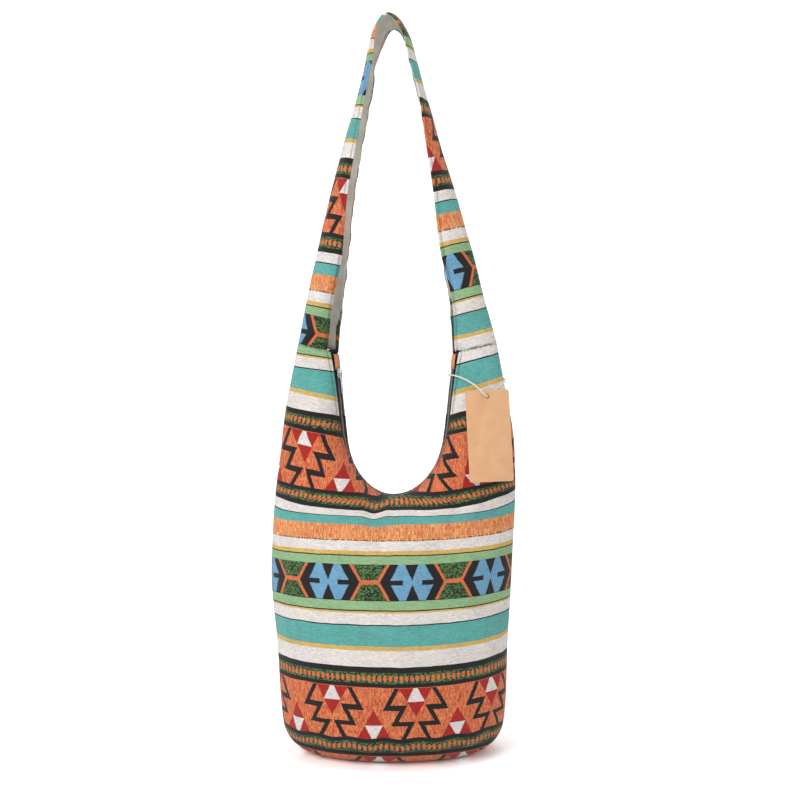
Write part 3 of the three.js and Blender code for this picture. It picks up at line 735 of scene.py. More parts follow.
@dataclass(frozen=True)
class Topstitch:
    """The sewn line beside a hemmed edge: a groove in the cloth, painted shade in it, and the thread in it.
    """

    from_edge: float = 3.1
    groove_width: float = 0.9
    groove_depth: float = 0.55
    hem_rise: float = 0.45
    fold_zone: tuple[float, float] = (2.3, 3.7)
    # How dark the painted shade in the groove is.
    groove_painted_shade: float = 0.6
    pitch: float = 3.4
    stitch: float = 2.5
    thread: float = 0.5
    thread_sides: int = 5
    sunk: float = 0.1
    stitch_shape: tuple = ((-0.5, 0.0), (-0.42, 0.7), (0.0, 1.0), (0.42, 0.7), (0.5, 0.0))

    def relief(self, inward: Array) -> Array:
        """How far the cloth stands out at distances from its hemmed edge."""
        groove = np.exp(-(((inward - self.from_edge) / self.groove_width) ** 2))
        fold = 1 - smooth_rise(inward, *self.fold_zone)
        return self.hem_rise * fold - self.groove_depth * groove

    def painted_shade(self, inward: Array) -> Array:
        """How dark the painted shade in the groove is at distances from the hemmed edge."""
        return self.groove_painted_shade * np.exp(-(((inward - self.from_edge) / (0.9 * self.groove_width)) ** 2))

    def line(self, skin: Array, inward: Array) -> Array:
        """The sewn line on a hung skin.

        Args:
            skin: Rows by columns by three.
            inward: The distances of its points from the hemmed edge, falling along each row.

        Returns:
            One point for each row.
        """
        points = []
        for row, distances in zip(skin, inward):
            order = np.argsort(distances)
            points.append(read_along(row[order], distances[order], self.from_edge))
        return np.array(points)

    def sew(self, name: str, lines: Sequence[tuple[Array, Array]]) -> Piece:
        """Lays a stitch of thread every few millimetres.

        Args:
            name: The piece's name.
            lines: For each sewn line its points and the cloth's normals there.

        Returns:
            All the stitches as one piece.
        """
        skin = Skin()
        shape = np.array(self.stitch_shape)
        for points, normals in lines:
            run = run_along(points)
            for start in np.arange(self.pitch, run[-1] - self.pitch, self.pitch):
                low, high = (read_along(points, run, start + end * self.stitch / 2) for end in (-1, 1))
                out = read_along(normals, run, start)
                way = high - low
                side = unit(np.cross(unit(way), out))
                middle = (low + high) / 2 + shape[:, :1] * way - out * self.sunk
                grid = tube(middle, side, out, shape[:, 1] * self.thread / 2, self.thread_sides)
                skin.add_grid(grid, grid[..., :2])
        return skin.make(name, merge=FINE_MERGE)


@dataclass(frozen=True)
class Grain:
    """Where each point of the body lies on the cloth it was cut from, in millimetres.

    The cloth's v runs up from the base and differs from the height by a little, because the filled
    body pulls its stripes up at the seams and down under the mouth. Stations are (height, offset).
    """

    middle: tuple = (
        (19, -15), (38, -14), (97, -8), (120, -7), (240, -7), (266, -5.5), (285, -4),
        (293.5, 0), (299, 5.5), (307, 10), (315, 11),
    )  # fmt: skip
    left_ridge: tuple = (
        (315, 11), (345, 14), (385, 11.5), (411, 9), (434, 10), (467, 3), (492, 4), (503, 4),
    )  # fmt: skip
    right_ridge: tuple = (
        (315, 11), (345, 12), (380, 9), (413, 7.8), (443, 2.4), (470, -4), (503, -13),
    )  # fmt: skip
    left_seam: tuple = (
        (0, -16), (100, -10), (250, -7), (290, -8), (316, -8.5), (336, -4.5), (405, -8.2),
        (426, -6), (450, -5), (503, -5),
    )  # fmt: skip
    right_seam: tuple = (
        (19, -20), (100, -15), (178, -15.7), (205, -13.3), (259, -14), (297, -16.4), (323, -16),
        (341, -9.5), (400, -14), (463, -18), (518, -25),
    )  # fmt: skip
    skew: tuple = ((60, 2), (215, 7), (315, 9))
    left_drift: tuple = ((315, 0), (360, 0), (397, -3), (503, -16))
    right_drift: tuple = ((315, 0), (365, 14), (400, 21), (503, 36))
    bend_low: float = 300
    bend_high: float = 375
    pinch_x: float = -20
    pinch_width: float = 13
    pinch_drop: float = 4.5
    pinch_foot: tuple[float, float] = (262, 300)
    pinch_head: tuple[float, float] = (322, 345)
    foot_ripple: float = 1.5
    foot_pitch: float = 6.5
    foot_zone: tuple[float, float] = (30, 62)

    def up(self, side: Side, x: Array, z: Array, share: Array, in_horn: bool) -> Array:
        """The cloth's v.

        Args:
            side: Which half of the body.
            x: Places across, for the pinch under the mouth.
            z: Heights.
            share: 0 at the middle or the mouth, 1 at the side seam.
            in_horn: Whether the row lies in a horn.

        Returns:
            The v of each point.
        """
        left = side is Side.LEFT
        ridge = self.left_ridge if left else self.right_ridge
        seam = self.left_seam if left else self.right_seam
        inner = through(ridge if in_horn else self.middle, z)
        bend = share ** (2 - smooth_rise(z, self.bend_low, self.bend_high))
        pinch = np.exp(-(((x - self.pinch_x) / self.pinch_width) ** 2))
        low = smooth_rise(z, *self.pinch_foot) * (1 - smooth_rise(z, *self.pinch_head))
        ripple = self.foot_ripple * np.sin(x / self.foot_pitch) * (1 - smooth_rise(z, *self.foot_zone))
        return z + lerp(inner, through(seam, z), bend) + self.pinch_drop * pinch * low + ripple


@dataclass(frozen=True)
class Relief:
    """Soft dents and folds of the filled body, pushed along the cloth's normal."""

    swell: float = 1.3
    pitch: float = 95
    fine_swell: float = 0.35
    fine_pitch: float = 42
    seam_zone: tuple[float, float] = (3, 22)
    foot_zone: tuple[float, float] = (22, 60)
    horn_calm: float = 0.55
    fold_slope: float = 0.25
    fold_foot: float = 300
    fade_in: float = 25
    fade_out: float = 18
    folds: tuple = (
        (-24, 7, 265, 318, -2.4), (-9, 8, 270, 316, 1.92),
        (76, 8, 262, 345, -2.4), (93, 9, 262, 350, 1.92),
    )  # fmt: skip

    def push(self, form: BagForm, grid: Array, seed: int) -> Array:
        """How far each point moves out.

        Args:
            form: The bag's shape.
            grid: The points before the push.
            seed: Which undulation.

        Returns:
            Millimetres along the normal.
        """
        x, y, z = np.moveaxis(grid, -1, 0)
        calm = smooth_rise(np.abs(y), *self.seam_zone) * smooth_rise(z, *self.foot_zone)
        calm = calm * (1 - self.horn_calm * smooth_rise(z, form.mouth_bottom, form.horn_top))
        push = waves(grid, self.pitch, self.swell, seed) * calm
        push = push + waves(grid * (1, 1, 0.35), self.fine_pitch, self.fine_swell, seed + 50) * calm
        for middle, width, low, high, depth in self.folds:
            line = middle + self.fold_slope * (z - self.fold_foot)
            here = np.exp(-(((x - line) / width) ** 2)) * smooth_rise(z, low, low + self.fade_in)
            push = push + depth * here * (1 - smooth_rise(z, high - self.fade_out, high))
        return push * calm


@dataclass
class Body:
    """The front, the back and the base, each of jacquard over a cotton lining."""

    form: BagForm
    grain: Grain = Grain()
    relief: Relief = Relief()
    hem: Hem = Hem(swell=0.9)
    topstitch: Topstitch = Topstitch()
    sewn: list = field(default_factory=list)
    body_rows: int = 96
    horn_rows: int = 96
    columns: int = 64
    crowding: float = 1.6
    lining_rows: int = 26
    lining_columns: int = 22
    lining_inset: float = 3.7
    base_segments: int = 160
    base_place: tuple[float, float] = (54, 94)
    seed: int = 3
    seam_fade: float = 4
    # Painted shade along the side, base and strap seams: its width and how dark it is.
    seam_width: float = 1.6
    seam_painted_shade: float = 0.75

    def half(
        self, side: Side, face: Face, inset: float, rows: tuple[int, int], columns: int,
        hemmed: bool = False,
    ) -> tuple:  # fmt: skip
        """The skin of one half of a face, before it hangs.

        Args:
            side: Left or right half.
            face: Front or back.
            inset: How far the skin lies under the cloth's outside.
            rows: How many rows below and above the mouth's lowest point.
            columns: How many columns from the side seam inwards.
            hemmed: Whether the skin ends at its hem beside the zip and not at the mouth's edge.

        Returns:
            The body's grid and the horn's grid, each rows by columns by three.
        """
        form = self.form
        low = form.mouth_bottom - inset
        low = low - float(form.hem_inset(low)) if hemmed else low
        foot = form.seam_height + form.seam_gap
        share = np.linspace(0, 1, columns + 1)
        quarter = 1 - np.cos(math.pi / 2 * share)
        half = (1 - np.cos(math.pi * share)) / 2
        grids = []
        below = np.linspace(1, 0, rows[0] + 1) ** self.crowding
        rise = np.linspace(0, 1, rows[1] + 1) ** self.crowding
        for in_horn in (False, True):
            outer_z = low + (form.horn_top - low) * rise if in_horn else low - (low - foot) * below
            inner_z = low + (form.mouth_top - low) * rise if in_horn else outer_z
            outer_x = side.value * (form.half_width_at(side, outer_z) - inset)
            inner_x = form.mouth_x(side, inner_z, inset, hemmed) if in_horn else 0 * outer_z
            spread = np.clip(np.sqrt(rise) * 2, 0, 1) if in_horn else np.zeros_like(outer_z)
            across = lerp(quarter[None], half[None], spread[:, None])
            x = lerp(outer_x[:, None], inner_x[:, None], across)
            z = lerp(outer_z[:, None], inner_z[:, None], across)
            y = np.maximum(form.depth_at(x, z, inset), form.seam_gap / 2)
            grids.append(np.stack([x, face.value * y, z], axis=-1))
        return tuple(grids)

    def places(self, side: Side, body: Array, horn: Array) -> tuple[Array, Array]:
        """The places on the cloth of one half's two grids.

        Args:
            side: Left or right half.
            body: The grid below the mouth.
            horn: The grid beside the mouth.

        Returns:
            The places of both grids.
        """
        grain, sign = self.grain, side.value
        drift = grain.left_drift if side is Side.LEFT else grain.right_drift
        arc = arc_along(body)
        from_middle = arc[:, -1:] - arc
        low_share = from_middle / arc[:, -1:]
        low_u = sign * from_middle + through(grain.skew, body[..., 2])
        low_v = grain.up(side, body[..., 0], body[..., 2], low_share, False)
        arc = arc_along(horn)
        high_share = 1 - arc / arc[:, -1:]
        shift = through(drift, horn[..., 2])
        high_u = sign * (arc[0, -1] - arc) + through(grain.skew, horn[..., 2]) + shift
        high_v = grain.up(side, horn[..., 0], horn[..., 2], high_share, True)
        return np.stack([low_u, low_v], axis=-1), np.stack([high_u, high_v], axis=-1)

    def panel(self, face: Face, name: str) -> Piece:
        """One face of the body with both horns, its mouth hemmed.

        Args:
            face: Front or back.
            name: The piece's name.

        Returns:
            The piece.
        """
        skin = Skin()
        for side in Side:
            rows = (self.body_rows, self.horn_rows)
            body, horn = self.half(side, face, 0.0, rows, self.columns, hemmed=True)
            low, high = self.places(side, body, horn)
            mouth_row = len(body) - 1
            outer = np.vstack([body[:-1], horn])
            where = np.vstack([low[:-1], high])
            outward = self._outward(outer, face)
            push = self.relief.push(self.form, outer, self.seed + face.value)
            inward = distance_to_line(outer, outer[mouth_row:, -1])
            seam = self._from_seams(outer)
            push = push + self.topstitch.relief(inward) * smooth_rise(seam, 0, self.seam_fade)
            # Painted shade in the seams and in the topstitched groove.
            painted_shade = self.seam_painted_shade * np.exp(-((seam / self.seam_width) ** 2))
            painted_shade = np.maximum(self.topstitch.painted_shade(inward), painted_shade)
            outer = outer + outward * push[..., None]
            inner = outer - outward * self.form.cloth
            inner[..., 1] = face.value * np.maximum(inner[..., 1] * face.value, self.form.seam_gap / 2)
            inner[:mouth_row, -1, 0] = outer[:mouth_row, -1, 0] = 0
            outer, inner = self.form.hang(outer), self.form.hang(inner)
            skin.add_cloth(outer, inner, where, (FIRST, FOOT, TOP), painted_shade)
            edge = np.s_[mouth_row:]
            skin.add_roll(self.hem, outer[edge], inner[edge], where[edge], self.form.cloth)
            self.sewn.append(self._sewn_line(outer, inward, mouth_row, face))
        return skin.make(name)

    @staticmethod
    def _outward(grid: Array, face: Face) -> Array:
        """A face's normals, turned away from the middle plane."""
        normals = normals_of(grid)
        return normals * np.sign(normals[..., 1:2] * face.value + 1e-9)

    def _sewn_line(self, hung: Array, inward: Array, row: int, face: Face) -> tuple[Array, Array]:
        """The line of stitches on one half: across under the mouth, then up beside it.

        Args:
            hung: The outer skin as it hangs.
            inward: The distances of its points from the hem.
            row: The row at the mouth's lowest point.
            face: Front or back.

        Returns:
            The line's points and the cloth's normals there.
        """
        both = np.concatenate([hung, self._outward(hung, face)], axis=-1)
        under = [j for j in range(hung.shape[1] - 1, 0, -1) if inward[row, j] < self.topstitch.from_edge]
        across = self.topstitch.line(both[: row + 1, under].swapaxes(0, 1), inward[: row + 1, under].T)
        beside = self.topstitch.line(both[row + 1 :], inward[row + 1 :])
        whole = np.vstack([across, beside])
        return whole[:, :3], whole[:, 3:]

    def _from_seams(self, grid: Array) -> Array:
        """Distances from the side seam, the base seam and the strap's seam."""
        low = np.abs(grid[..., 2] - grid[0, :, 2][None])
        top = np.linalg.norm(grid - grid[-1][None], axis=-1)
        return np.minimum(np.minimum(arc_along(grid), low), top)

    def lining_panel(self, face: Face, name: str) -> Piece:
        """The cotton lining under one face.

        Args:
            face: Front or back.
            name: The piece's name.

        Returns:
            The piece.
        """
        skin = Skin()
        rows = (self.lining_rows, self.lining_rows)
        for side in Side:
            skins = []
            for inset in (self.lining_inset, self.lining_inset + self.form.lining):
                low, high = self.half(side, face, inset, rows, self.lining_columns)
                skins.append(self.form.hang(np.vstack([low[:-1], high])))
            mouth = np.s_[self.lining_rows :, -1]
            skin.add_cloth(*skins, skins[0][..., (0, 2)], (FIRST, FOOT, TOP, mouth))
        return skin.make(name)

    def base(self, inset: float, thickness: float, name: str, rings: int = 14) -> Piece:
        """The oval dish under the bag.

        Args:
            inset: How far the dish lies inside the cloth's outside.
            thickness: The cloth's thickness.
            name: The piece's name.
            rings: How many rings lie between the seam and the middle of the floor.

        Returns:
            The piece.
        """
        outer, places = self._dish(inset, rings)
        inner, _ = self._dish(inset + thickness, rings)
        skin = Skin()
        skin.add_cloth(outer, inner, places, (FOOT,))
        return skin.make(name)

    def _dish(self, inset: float, rings: int) -> tuple[Array, Array]:
        """The dish's grid from the seam inwards, with its places on the cloth.

        Args:
            inset: How far it lies inside the cloth's outside.
            rings: How many rings it has.

        Returns:
            The points and their places.
        """
        form = self.form
        radius = form.corner_radius
        steep = math.acos(1 - form.seam_height / radius)
        angle = full_circle(self.base_segments)
        cos, sin = np.cos(angle), np.sin(angle)
        rows, places = [], []
        half = rings // 2
        run, last = 0.0, None
        for ring in range(rings + 1):
            turn = steep * max(1 - ring / half, 0)
            share = 1 - max(ring - half, 0) / (rings - half)
            height = radius * (1 - math.cos(turn))
            pull = inset * math.sin(turn) if ring else inset
            wide = np.where(cos < 0, *(form.half_width_at(side, height) for side in Side))
            x = share * (wide - pull) * cos
            y = share * (form.half_depth_at(height) - pull) * sin
            lift = inset * math.cos(turn) if ring else 0
            rows.append(np.stack([x, y, np.full_like(x, height + lift)], axis=-1))
            run = run + np.hypot(x - last[0], y - last[1]).mean() if ring else 0.0
            last = (x, y)
            u, v = x - self.base_place[0], np.full_like(x, self.base_place[1] - run)
            places.append(np.stack([u, v], axis=-1))
        return np.stack(rows), np.stack(places)


@dataclass
class Strap:
    """The wide strap of two folded strips, sewn together at its top and to both horns."""

    form: BagForm
    hem: Hem = Hem(swell=1.0)
    topstitch: Topstitch = Topstitch()
    sewn: list = field(default_factory=list)
    rows: int = 190
    columns: int = 20
    lining_rows: int = 80
    lining_columns: int = 10
    lining_inset: float = 1.7
    apex: int = 9
    cloth_run: tuple[float, float] = (197, 119)
    cloth_rate: tuple[float, float] = (0.962, 0.972)
    inner_edge: tuple = (
        ((0, 185), (0.3, 181), (0.6, 177), (1, 170)),
        ((0, 129), (0.5, 132), (1, 134)),
    )
    seed: int = 21
    wrinkle: float = 0.7
    wrinkle_pitch: float = 60
    stillness: float = 8
    seam_fade: float = 4
    # Painted shade along the strap's seams: its width and how dark it is.
    seam_width: float = 1.7
    seam_painted_shade: float = 0.8
    edge_ripple: float = 0.8
    ripple_lengths: tuple[float, float] = (5.2, 17)
    ripple_zone: tuple[float, float] = (520, 560)
    front_tuck: tuple = (
        ((503, 9.5), (545, 7.5), (600, 4.5), (650, 3.5), (740, 1), (830, 0), (914, 0)),
        ((503, 0), (640, 0), (720, 3), (800, 5.5), (870, 4), (914, 0)),
    )
    back_tuck: tuple = (
        ((503, 0), (835, 0), (866, 3.5), (890, 0.5)),
        ((503, 0), (914, 0)),
    )
    stations: tuple = (
        (-0.702, 0.144, 41, 20, 0.45), (-0.619, 0.294, 36, 24, 0.12), (-0.522, 0.445, 26, 27, 0),
        (-0.415, 0.596, 19, 29, 0), (-0.295, 0.747, 12, 31, 0), (-0.224, 0.869, 10.5, 32, 0),
        (-0.172, 0.939, 8, 32, 0), (-0.103, 0.984, 7, 32, 0), (-0.02, 1, 6, 32, 0),
        (0.062, 0.984, 7, 32, 0), (0.134, 0.939, 8, 32, 0), (0.187, 0.869, 10.5, 32, 0),
        (0.276, 0.747, 12, 31, 0), (0.391, 0.596, 19, 29, 0), (0.514, 0.445, 26, 27, 0),
        (0.629, 0.294, 36, 24, 0.12), (0.735, 0.144, 41, 20, 0.45),
    )  # fmt: skip

    def __post_init__(self) -> None:
        """Works out the rows of the outer line and its sections, seam to seam."""
        form = self.form
        places = [
            (x * form.half_width, form.horn_top + rise * (form.loop_top - form.horn_top), *section)
            for x, rise, *section in self.stations
        ]
        left, right = (self._seam_row(side) for side in Side)
        self.table = [(i, *row) for i, row in enumerate([left, *places, right])]

    def _seam_ends(self, side: Side) -> tuple[Array, Array]:
        """The outer and the inner end of the seam with a horn."""
        form = self.form
        outer = np.array([side.value * float(form.half_width_at(side, form.horn_top)), form.horn_top])
        inner = np.array([float(form.mouth_x(side, form.mouth_top)), form.mouth_top])
        return outer, inner

    def _seam_row(self, side: Side) -> tuple[float, ...]:
        """The strap's section at a horn's seam."""
        outer, inner = self._seam_ends(side)
        depth = float(np.linalg.norm(outer - inner))
        half_depth = float(self.form.half_depth_at(self.form.horn_top))
        return float(outer[0]), float(outer[1]), depth, half_depth, 1.0

    def _read(self, at: Array) -> list[Array]:
        """All the columns of the table at one place each."""
        return [through(self.table, at, column) for column in range(1, 6)]

    def grid(self, side: Side, inset: float, rows: int, columns: int) -> Array:
        """The skin of one strip, from the seam up, before it hangs.

        Args:
            side: Which strip.
            inset: How far the skin lies under the cloth's outside.
            rows: How many rows along the strip.
            columns: How many columns from the outer ridge to each edge.

        Returns:
            Rows by columns by three, from the front edge over the ridge to the back edge.
        """
        last = len(self.table) - 1
        share = np.linspace(0, 1, rows + 1)
        at = self.apex * share if side is Side.LEFT else last - (last - self.apex) * share
        x, z, depth, half_width, closed = self._read(at)
        before = self._read(np.maximum(at - 0.02, 0))
        after = self._read(np.minimum(at + 0.02, last))
        along = unit(np.stack([after[0] - before[0], after[1] - before[1]], axis=1))
        inward = np.stack([along[:, 1], -along[:, 0]], axis=1)
        outer, inner = self._seam_ends(side)
        across = unit(inner - outer)
        from_seam = at if side is Side.LEFT else last - at
        inward = unit(lerp(inward, across, np.clip(1 - from_seam, 0, 1)[:, None]))
        shift = np.zeros(rows + 1)
        shift[0], shift[-1] = self.form.seam_gap, -self.form.seam_gap / 2
        shift = shift * (1 if side is Side.LEFT else -1)
        start = np.stack([x, z], axis=1) + along * shift[:, None]
        height = start[:, 1]
        front = through(self.front_tuck[side is Side.RIGHT], height)
        back = through(self.back_tuck[side is Side.RIGHT], height)
        ripple = np.sin(height / self.ripple_lengths[0]) * np.sin(height / self.ripple_lengths[1] + 1)
        back = back + self.edge_ripple * ripple * smooth_rise(height, *self.ripple_zone)
        return self._sections(start, inward, depth, half_width, closed, inset, columns, (front, back))

    def _sections(
        self, start: Array, inward: Array, depth: Array, half_width: Array, closed: Array,
        inset: float, columns: int, tucks: tuple[Array, Array],
    ) -> Array:  # fmt: skip
        """The strip's sections: an open channel that closes to a horn's oval at its seam.

        Args:
            start: The outer line's points, as x and z.
            inward: Unit directions from it to the strip's edges.
            depth: The sections' depths along these directions.
            half_width: Half their widths from front to back.
            closed: How far each is closed, from 0 to 1.
            inset: How far the skin lies under the cloth's outside.
            columns: How many columns from the outer line to each edge.
            tucks: How far the front and the back edge are drawn back.

        Returns:
            Rows by columns by three.
        """
        depth, half_width, closed = (v[:, None] for v in (depth, half_width, closed))
        j = np.linspace(-1, 1, 2 * columns + 1)[None]
        s = 1 - np.abs(j)
        reach = lerp(np.sin(math.pi / 2 * s), (1 - np.cos(math.pi * s)) / 2, closed)
        from_edge = reach * (depth - inset)
        crest = np.minimum(self.form.crest_half_width, half_width - inset) * closed
        side_rounding = depth * lerp(1, self.form.horn_rounding, closed) - inset
        turn = quarter_round((depth - inset - from_edge) / side_rounding)
        curl = lerp(1, quarter_round(from_edge / (depth / 2)), closed)
        y = np.sign(j) * turn * (crest + (half_width - inset - crest) * curl)
        share = 1 - from_edge / (depth - inset)
        drawn = np.where(j < 0, tucks[0][:, None], tucks[1][:, None])
        into = (depth - from_edge - drawn * share**1.5)[..., None]
        flat = start[:, None] + inward[:, None] * into
        return np.stack([flat[..., 0], y, flat[..., 1]], axis=-1)

    def _places(self, side: Side, grid: Array) -> Array:
        """The places on the cloth: v along the strip, u round it from its front inner edge."""
        index = 0 if side is Side.LEFT else 1
        run = run_along(grid[:, grid.shape[1] // 2])
        v = self.cloth_run[index] + self.cloth_rate[index] * run
        edge = through(self.inner_edge[index], run / run[-1])[:, None]
        u = edge + side.value * arc_along(grid)
        return np.stack([u, np.repeat(v[:, None], grid.shape[1], axis=1)], axis=-1)

    def strip(self, side: Side, name: str) -> Piece:
        """One jacquard strip with its hemmed edges.

        Args:
            side: Left or right.
            name: The piece's name.

        Returns:
            The piece.
        """
        outer = self.grid(side, 0.0, self.rows, self.columns)
        where = self._places(side, outer)
        outward = normals_of(outer)
        middle = outer.mean(axis=1, keepdims=True)
        outward *= np.sign(((outer - middle) * outward).sum(axis=-1, keepdims=True) + 1e-9)
        push = waves(outer * (1, 1, 0.6), self.wrinkle_pitch, self.wrinkle, self.seed + side.value)
        still = quarter_round(np.linspace(0, 1, self.rows + 1) * self.stillness)
        arc = arc_along(outer)
        inward = np.minimum(arc, arc[:, -1:] - arc)
        seam = np.minimum(*(np.linalg.norm(outer - outer[row], axis=-1) for row in (0, -1)))
        relief = self.topstitch.relief(inward) * smooth_rise(seam, 0, self.seam_fade)
        push = push * (still * still[::-1])[:, None] + relief
        # Painted shade at the seams and in the topstitched groove.
        painted_shade = self.seam_painted_shade * np.exp(-((seam / self.seam_width) ** 2))
        painted_shade = np.maximum(self.topstitch.painted_shade(inward), painted_shade)
        outer = outer + outward * push[..., None]
        inner = self.form.hang(outer - outward * self.form.cloth)
        outer = self.form.hang(outer)
        skin = Skin()
        skin.add_cloth(outer, inner, where, (FOOT, TOP), painted_shade)
        half = outer.shape[1] // 2
        for cut in (slice(0, half + 1), slice(half, None)):
            near = np.argmin(np.abs(inward[:, cut] - self.topstitch.from_edge), axis=1)
            normals = outward[:, cut][np.arange(len(near)), near]
            self.sewn.append((self.topstitch.line(outer[:, cut], inward[:, cut]), normals))
        for turned in (slice(None), slice(None, None, -1)):
            skin.add_roll(self.hem, outer[:, turned], inner[:, turned], where[:, turned])
        return skin.make(name)

    def lining(self, side: Side, name: str) -> Piece:
        """The cotton lining under one strip."""
        insets = (self.lining_inset, self.lining_inset + self.form.lining)
        sizes = (self.lining_rows, self.lining_columns)
        skins = [self.form.hang(self.grid(side, inset, *sizes)) for inset in insets]
        skin = Skin()
        skin.add_cloth(*skins, skins[0][..., (1, 2)], RIMS)
        return skin.make(name)


@dataclass(frozen=True)
class Threads:
    """The thread colours of the jacquard and the sizes of its weave, in millimetres."""

    black: Colour = srgb(30, 28, 28)
    dark_green: Colour = srgb(40, 68, 42)
    light_green: Colour = srgb(142, 178, 132)
    orange: Colour = srgb(209, 108, 66)
    amber: Colour = srgb(226, 170, 108)
    red: Colour = srgb(166, 36, 30)
    white: Colour = srgb(221, 214, 209)
    gold: Colour = srgb(208, 172, 96)
    teal: Colour = srgb(92, 165, 159)
    blue: Colour = srgb(108, 158, 190)
    rust: Colour = srgb(186, 76, 50)
    rust_orange: Colour = srgb(218, 134, 88)
    moss: Colour = srgb(86, 118, 66)
    warp: float = 0.8
    weft: float = 0.7
    line: float = 0.55


@dataclass(frozen=True)
class Jacquard:
    """The striped cloth with its dots, its zigzags and triangles, and its hexagons.

    The stripes repeat up the cloth, and each repeat lies half a motif across from the one below it.
    """

    name: str = "jacquard"
    threads: Threads = Threads()
    repeat: float = 307.5
    motif: float = 100
    half_drop: float = 50
    dot_rows: tuple[float, float] = (12, 101)
    dot_pitch: float = 6.3
    dot_size: tuple[float, float] = (2.1, 3.8)
    triangle_axis: float = 79
    triangle_foot: float = 24
    triangle_band: float = 65
    hexagon_axis: float = 29
    hexagon_row: float = 212
    hexagon_half: float = 20.5
    wander: tuple[float, float] = (2.2, 1.6)
    ribs: tuple[float, float] = (1.5, 1.2)
    crease_shade: float = 0.72
    step_feet: tuple[float, float] = (16.0, 36.6)
    step_heads: tuple[float, float] = (22.2, 43.4)
    zigzag_half: float = 2.9
    triangle_half: float = 19.5
    triangle_height: float = 37
    heart_height: float = 17.0

    def stripes(self) -> list[tuple[float, Colour]]:
        """The plain stripes: where each one starts, with a thin dark line before some."""
        t = self.threads
        line = t.line
        return [
            (0, t.black), (5.5, t.dark_green), (18.5, t.black), (24, t.orange), (89, t.black),
            (94.5, t.dark_green), (107.5, t.black), (113, t.white), (133 - line, t.dark_green),
            (133, t.gold), (137.5 - line, t.black), (137.5, t.teal), (162.5 - line, t.black),
            (162.5, t.white), (176 - line, t.dark_green), (176, t.gold), (179.5 - line, t.black),
            (179.5, t.light_green), (191.5 - line, t.black), (191.5, t.dark_green),
            (232.5, t.light_green), (243 - line, t.black), (243, t.gold), (247.5, t.white),
            (261 - line, t.dark_green), (261, t.rust_orange), (281, t.teal), (294.5 - line, t.black),
            (294.5, t.white), (307 - line, t.white),
        ]  # fmt: skip

    def material(self) -> bpy.types.Material:
        """Builds the woven material."""
        graph = Graph(self.name)
        t = self.threads
        raw_u, raw_v = graph.cloth_place()
        broad = graph.noise(graph.vector(raw_u, raw_v), 0.05, 3.0) - 0.5
        u = ((raw_u + broad * self.wander[0]) / t.warp).math("FLOOR") * t.warp
        v = ((raw_v + broad * self.wander[1]) / t.weft).math("FLOOR") * t.weft
        turn = (v / self.repeat).math("FLOOR")
        w = v % self.repeat
        across = u + turn * self.half_drop
        stops = [(place / self.repeat, colour) for place, colour in self.stripes()]
        colour = graph.steps(w / self.repeat, stops)
        colour, level = self._mottle(graph, colour, raw_u, raw_v, w)
        colour = self._dots(graph, colour, across, w)
        colour = self._zigzags(graph, colour, across, w)
        colour = self._hexagons(graph, colour, across, w)
        # The threads' random tone, times the painted shade of seams and grooves.
        shadow = graph.node("ShaderNodeAttribute", {"attribute_name": PAINTED_SHADE_MAP})
        painted_shade = Signal(graph, shadow.outputs["Fac"])
        colour = graph.shade(colour, level * (1.0 - painted_shade * self.crease_shade))
        across_ribs, up_ribs = (2 * math.pi / rib for rib in self.ribs)
        ribs = (raw_u * across_ribs).math("SINE") * (raw_v * up_ribs).math("SINE")
        coarse = graph.noise(graph.vector(raw_u, raw_v), 0.22, 2.0)
        height = ribs * 0.35 + coarse * 0.8 + level * 0.4
        return graph.finish({
            "Base Color": colour,
            "Roughness": 0.86,
            "Specular IOR Level": 0.28,
            "Sheen Weight": 0.12,
            "Sheen Roughness": 0.5,
            "Normal": graph.bump(height, 0.00045, 0.8),
        })

    def _dots(self, graph: Graph, colour: Socket, across: Signal, w: Signal) -> Socket:
        """Rows of oval dots between two dark lines."""
        low, high = (abs(w - row) for row in self.dot_rows)
        up = low.math("MINIMUM", high) / self.dot_size[1]
        side = across.fold(self.dot_pitch) / self.dot_size[0]
        return graph.mix((side * side + up * up) < 1.0, colour, self.threads.orange)

    def _zigzags(self, graph: Graph, colour: Socket, across: Signal, w: Signal) -> Socket:
        """The wide orange band: stepped black zigzags between upright and hanging triangles."""
        t = self.threads
        rise = w - self.triangle_foot
        inside = rise.between(0.0, self.triangle_band)
        from_up = (across - self.triangle_axis).fold(self.motif)
        slant = from_up - rise * 0.5
        (low_foot, high_foot), (low_head, high_head) = self.step_feet, self.step_heads
        upper = (rise > high_foot) & (abs(slant + 4.65) < self.zigzag_half)
        middle = rise.between(low_foot, high_head) & (abs(slant - 15.0) < self.zigzag_half)
        lower = (rise < low_head) & (abs(slant - 34.8) < self.zigzag_half)
        high_bar = rise.between(high_foot, high_head) & slant.between(-7.5, 17.9)
        low_bar = rise.between(low_foot, low_head) & slant.between(12.1, 37.7)
        black = upper | middle | lower | high_bar | low_bar
        colour = graph.mix(inside & black, colour, t.black)
        hanging = self.triangle_band - rise
        for side, height in ((from_up, rise), (self.motif / 2 - from_up, hanging)):
            triangle = side < (self.triangle_half - height * (self.triangle_half / self.triangle_height))
            heart = (height < self.heart_height) & (side < (height * (8 / self.heart_height) + 2.5))
            colour = graph.mix(inside & triangle, colour, t.red)
            colour = graph.mix(inside & triangle & heart, colour, t.white)
        return colour

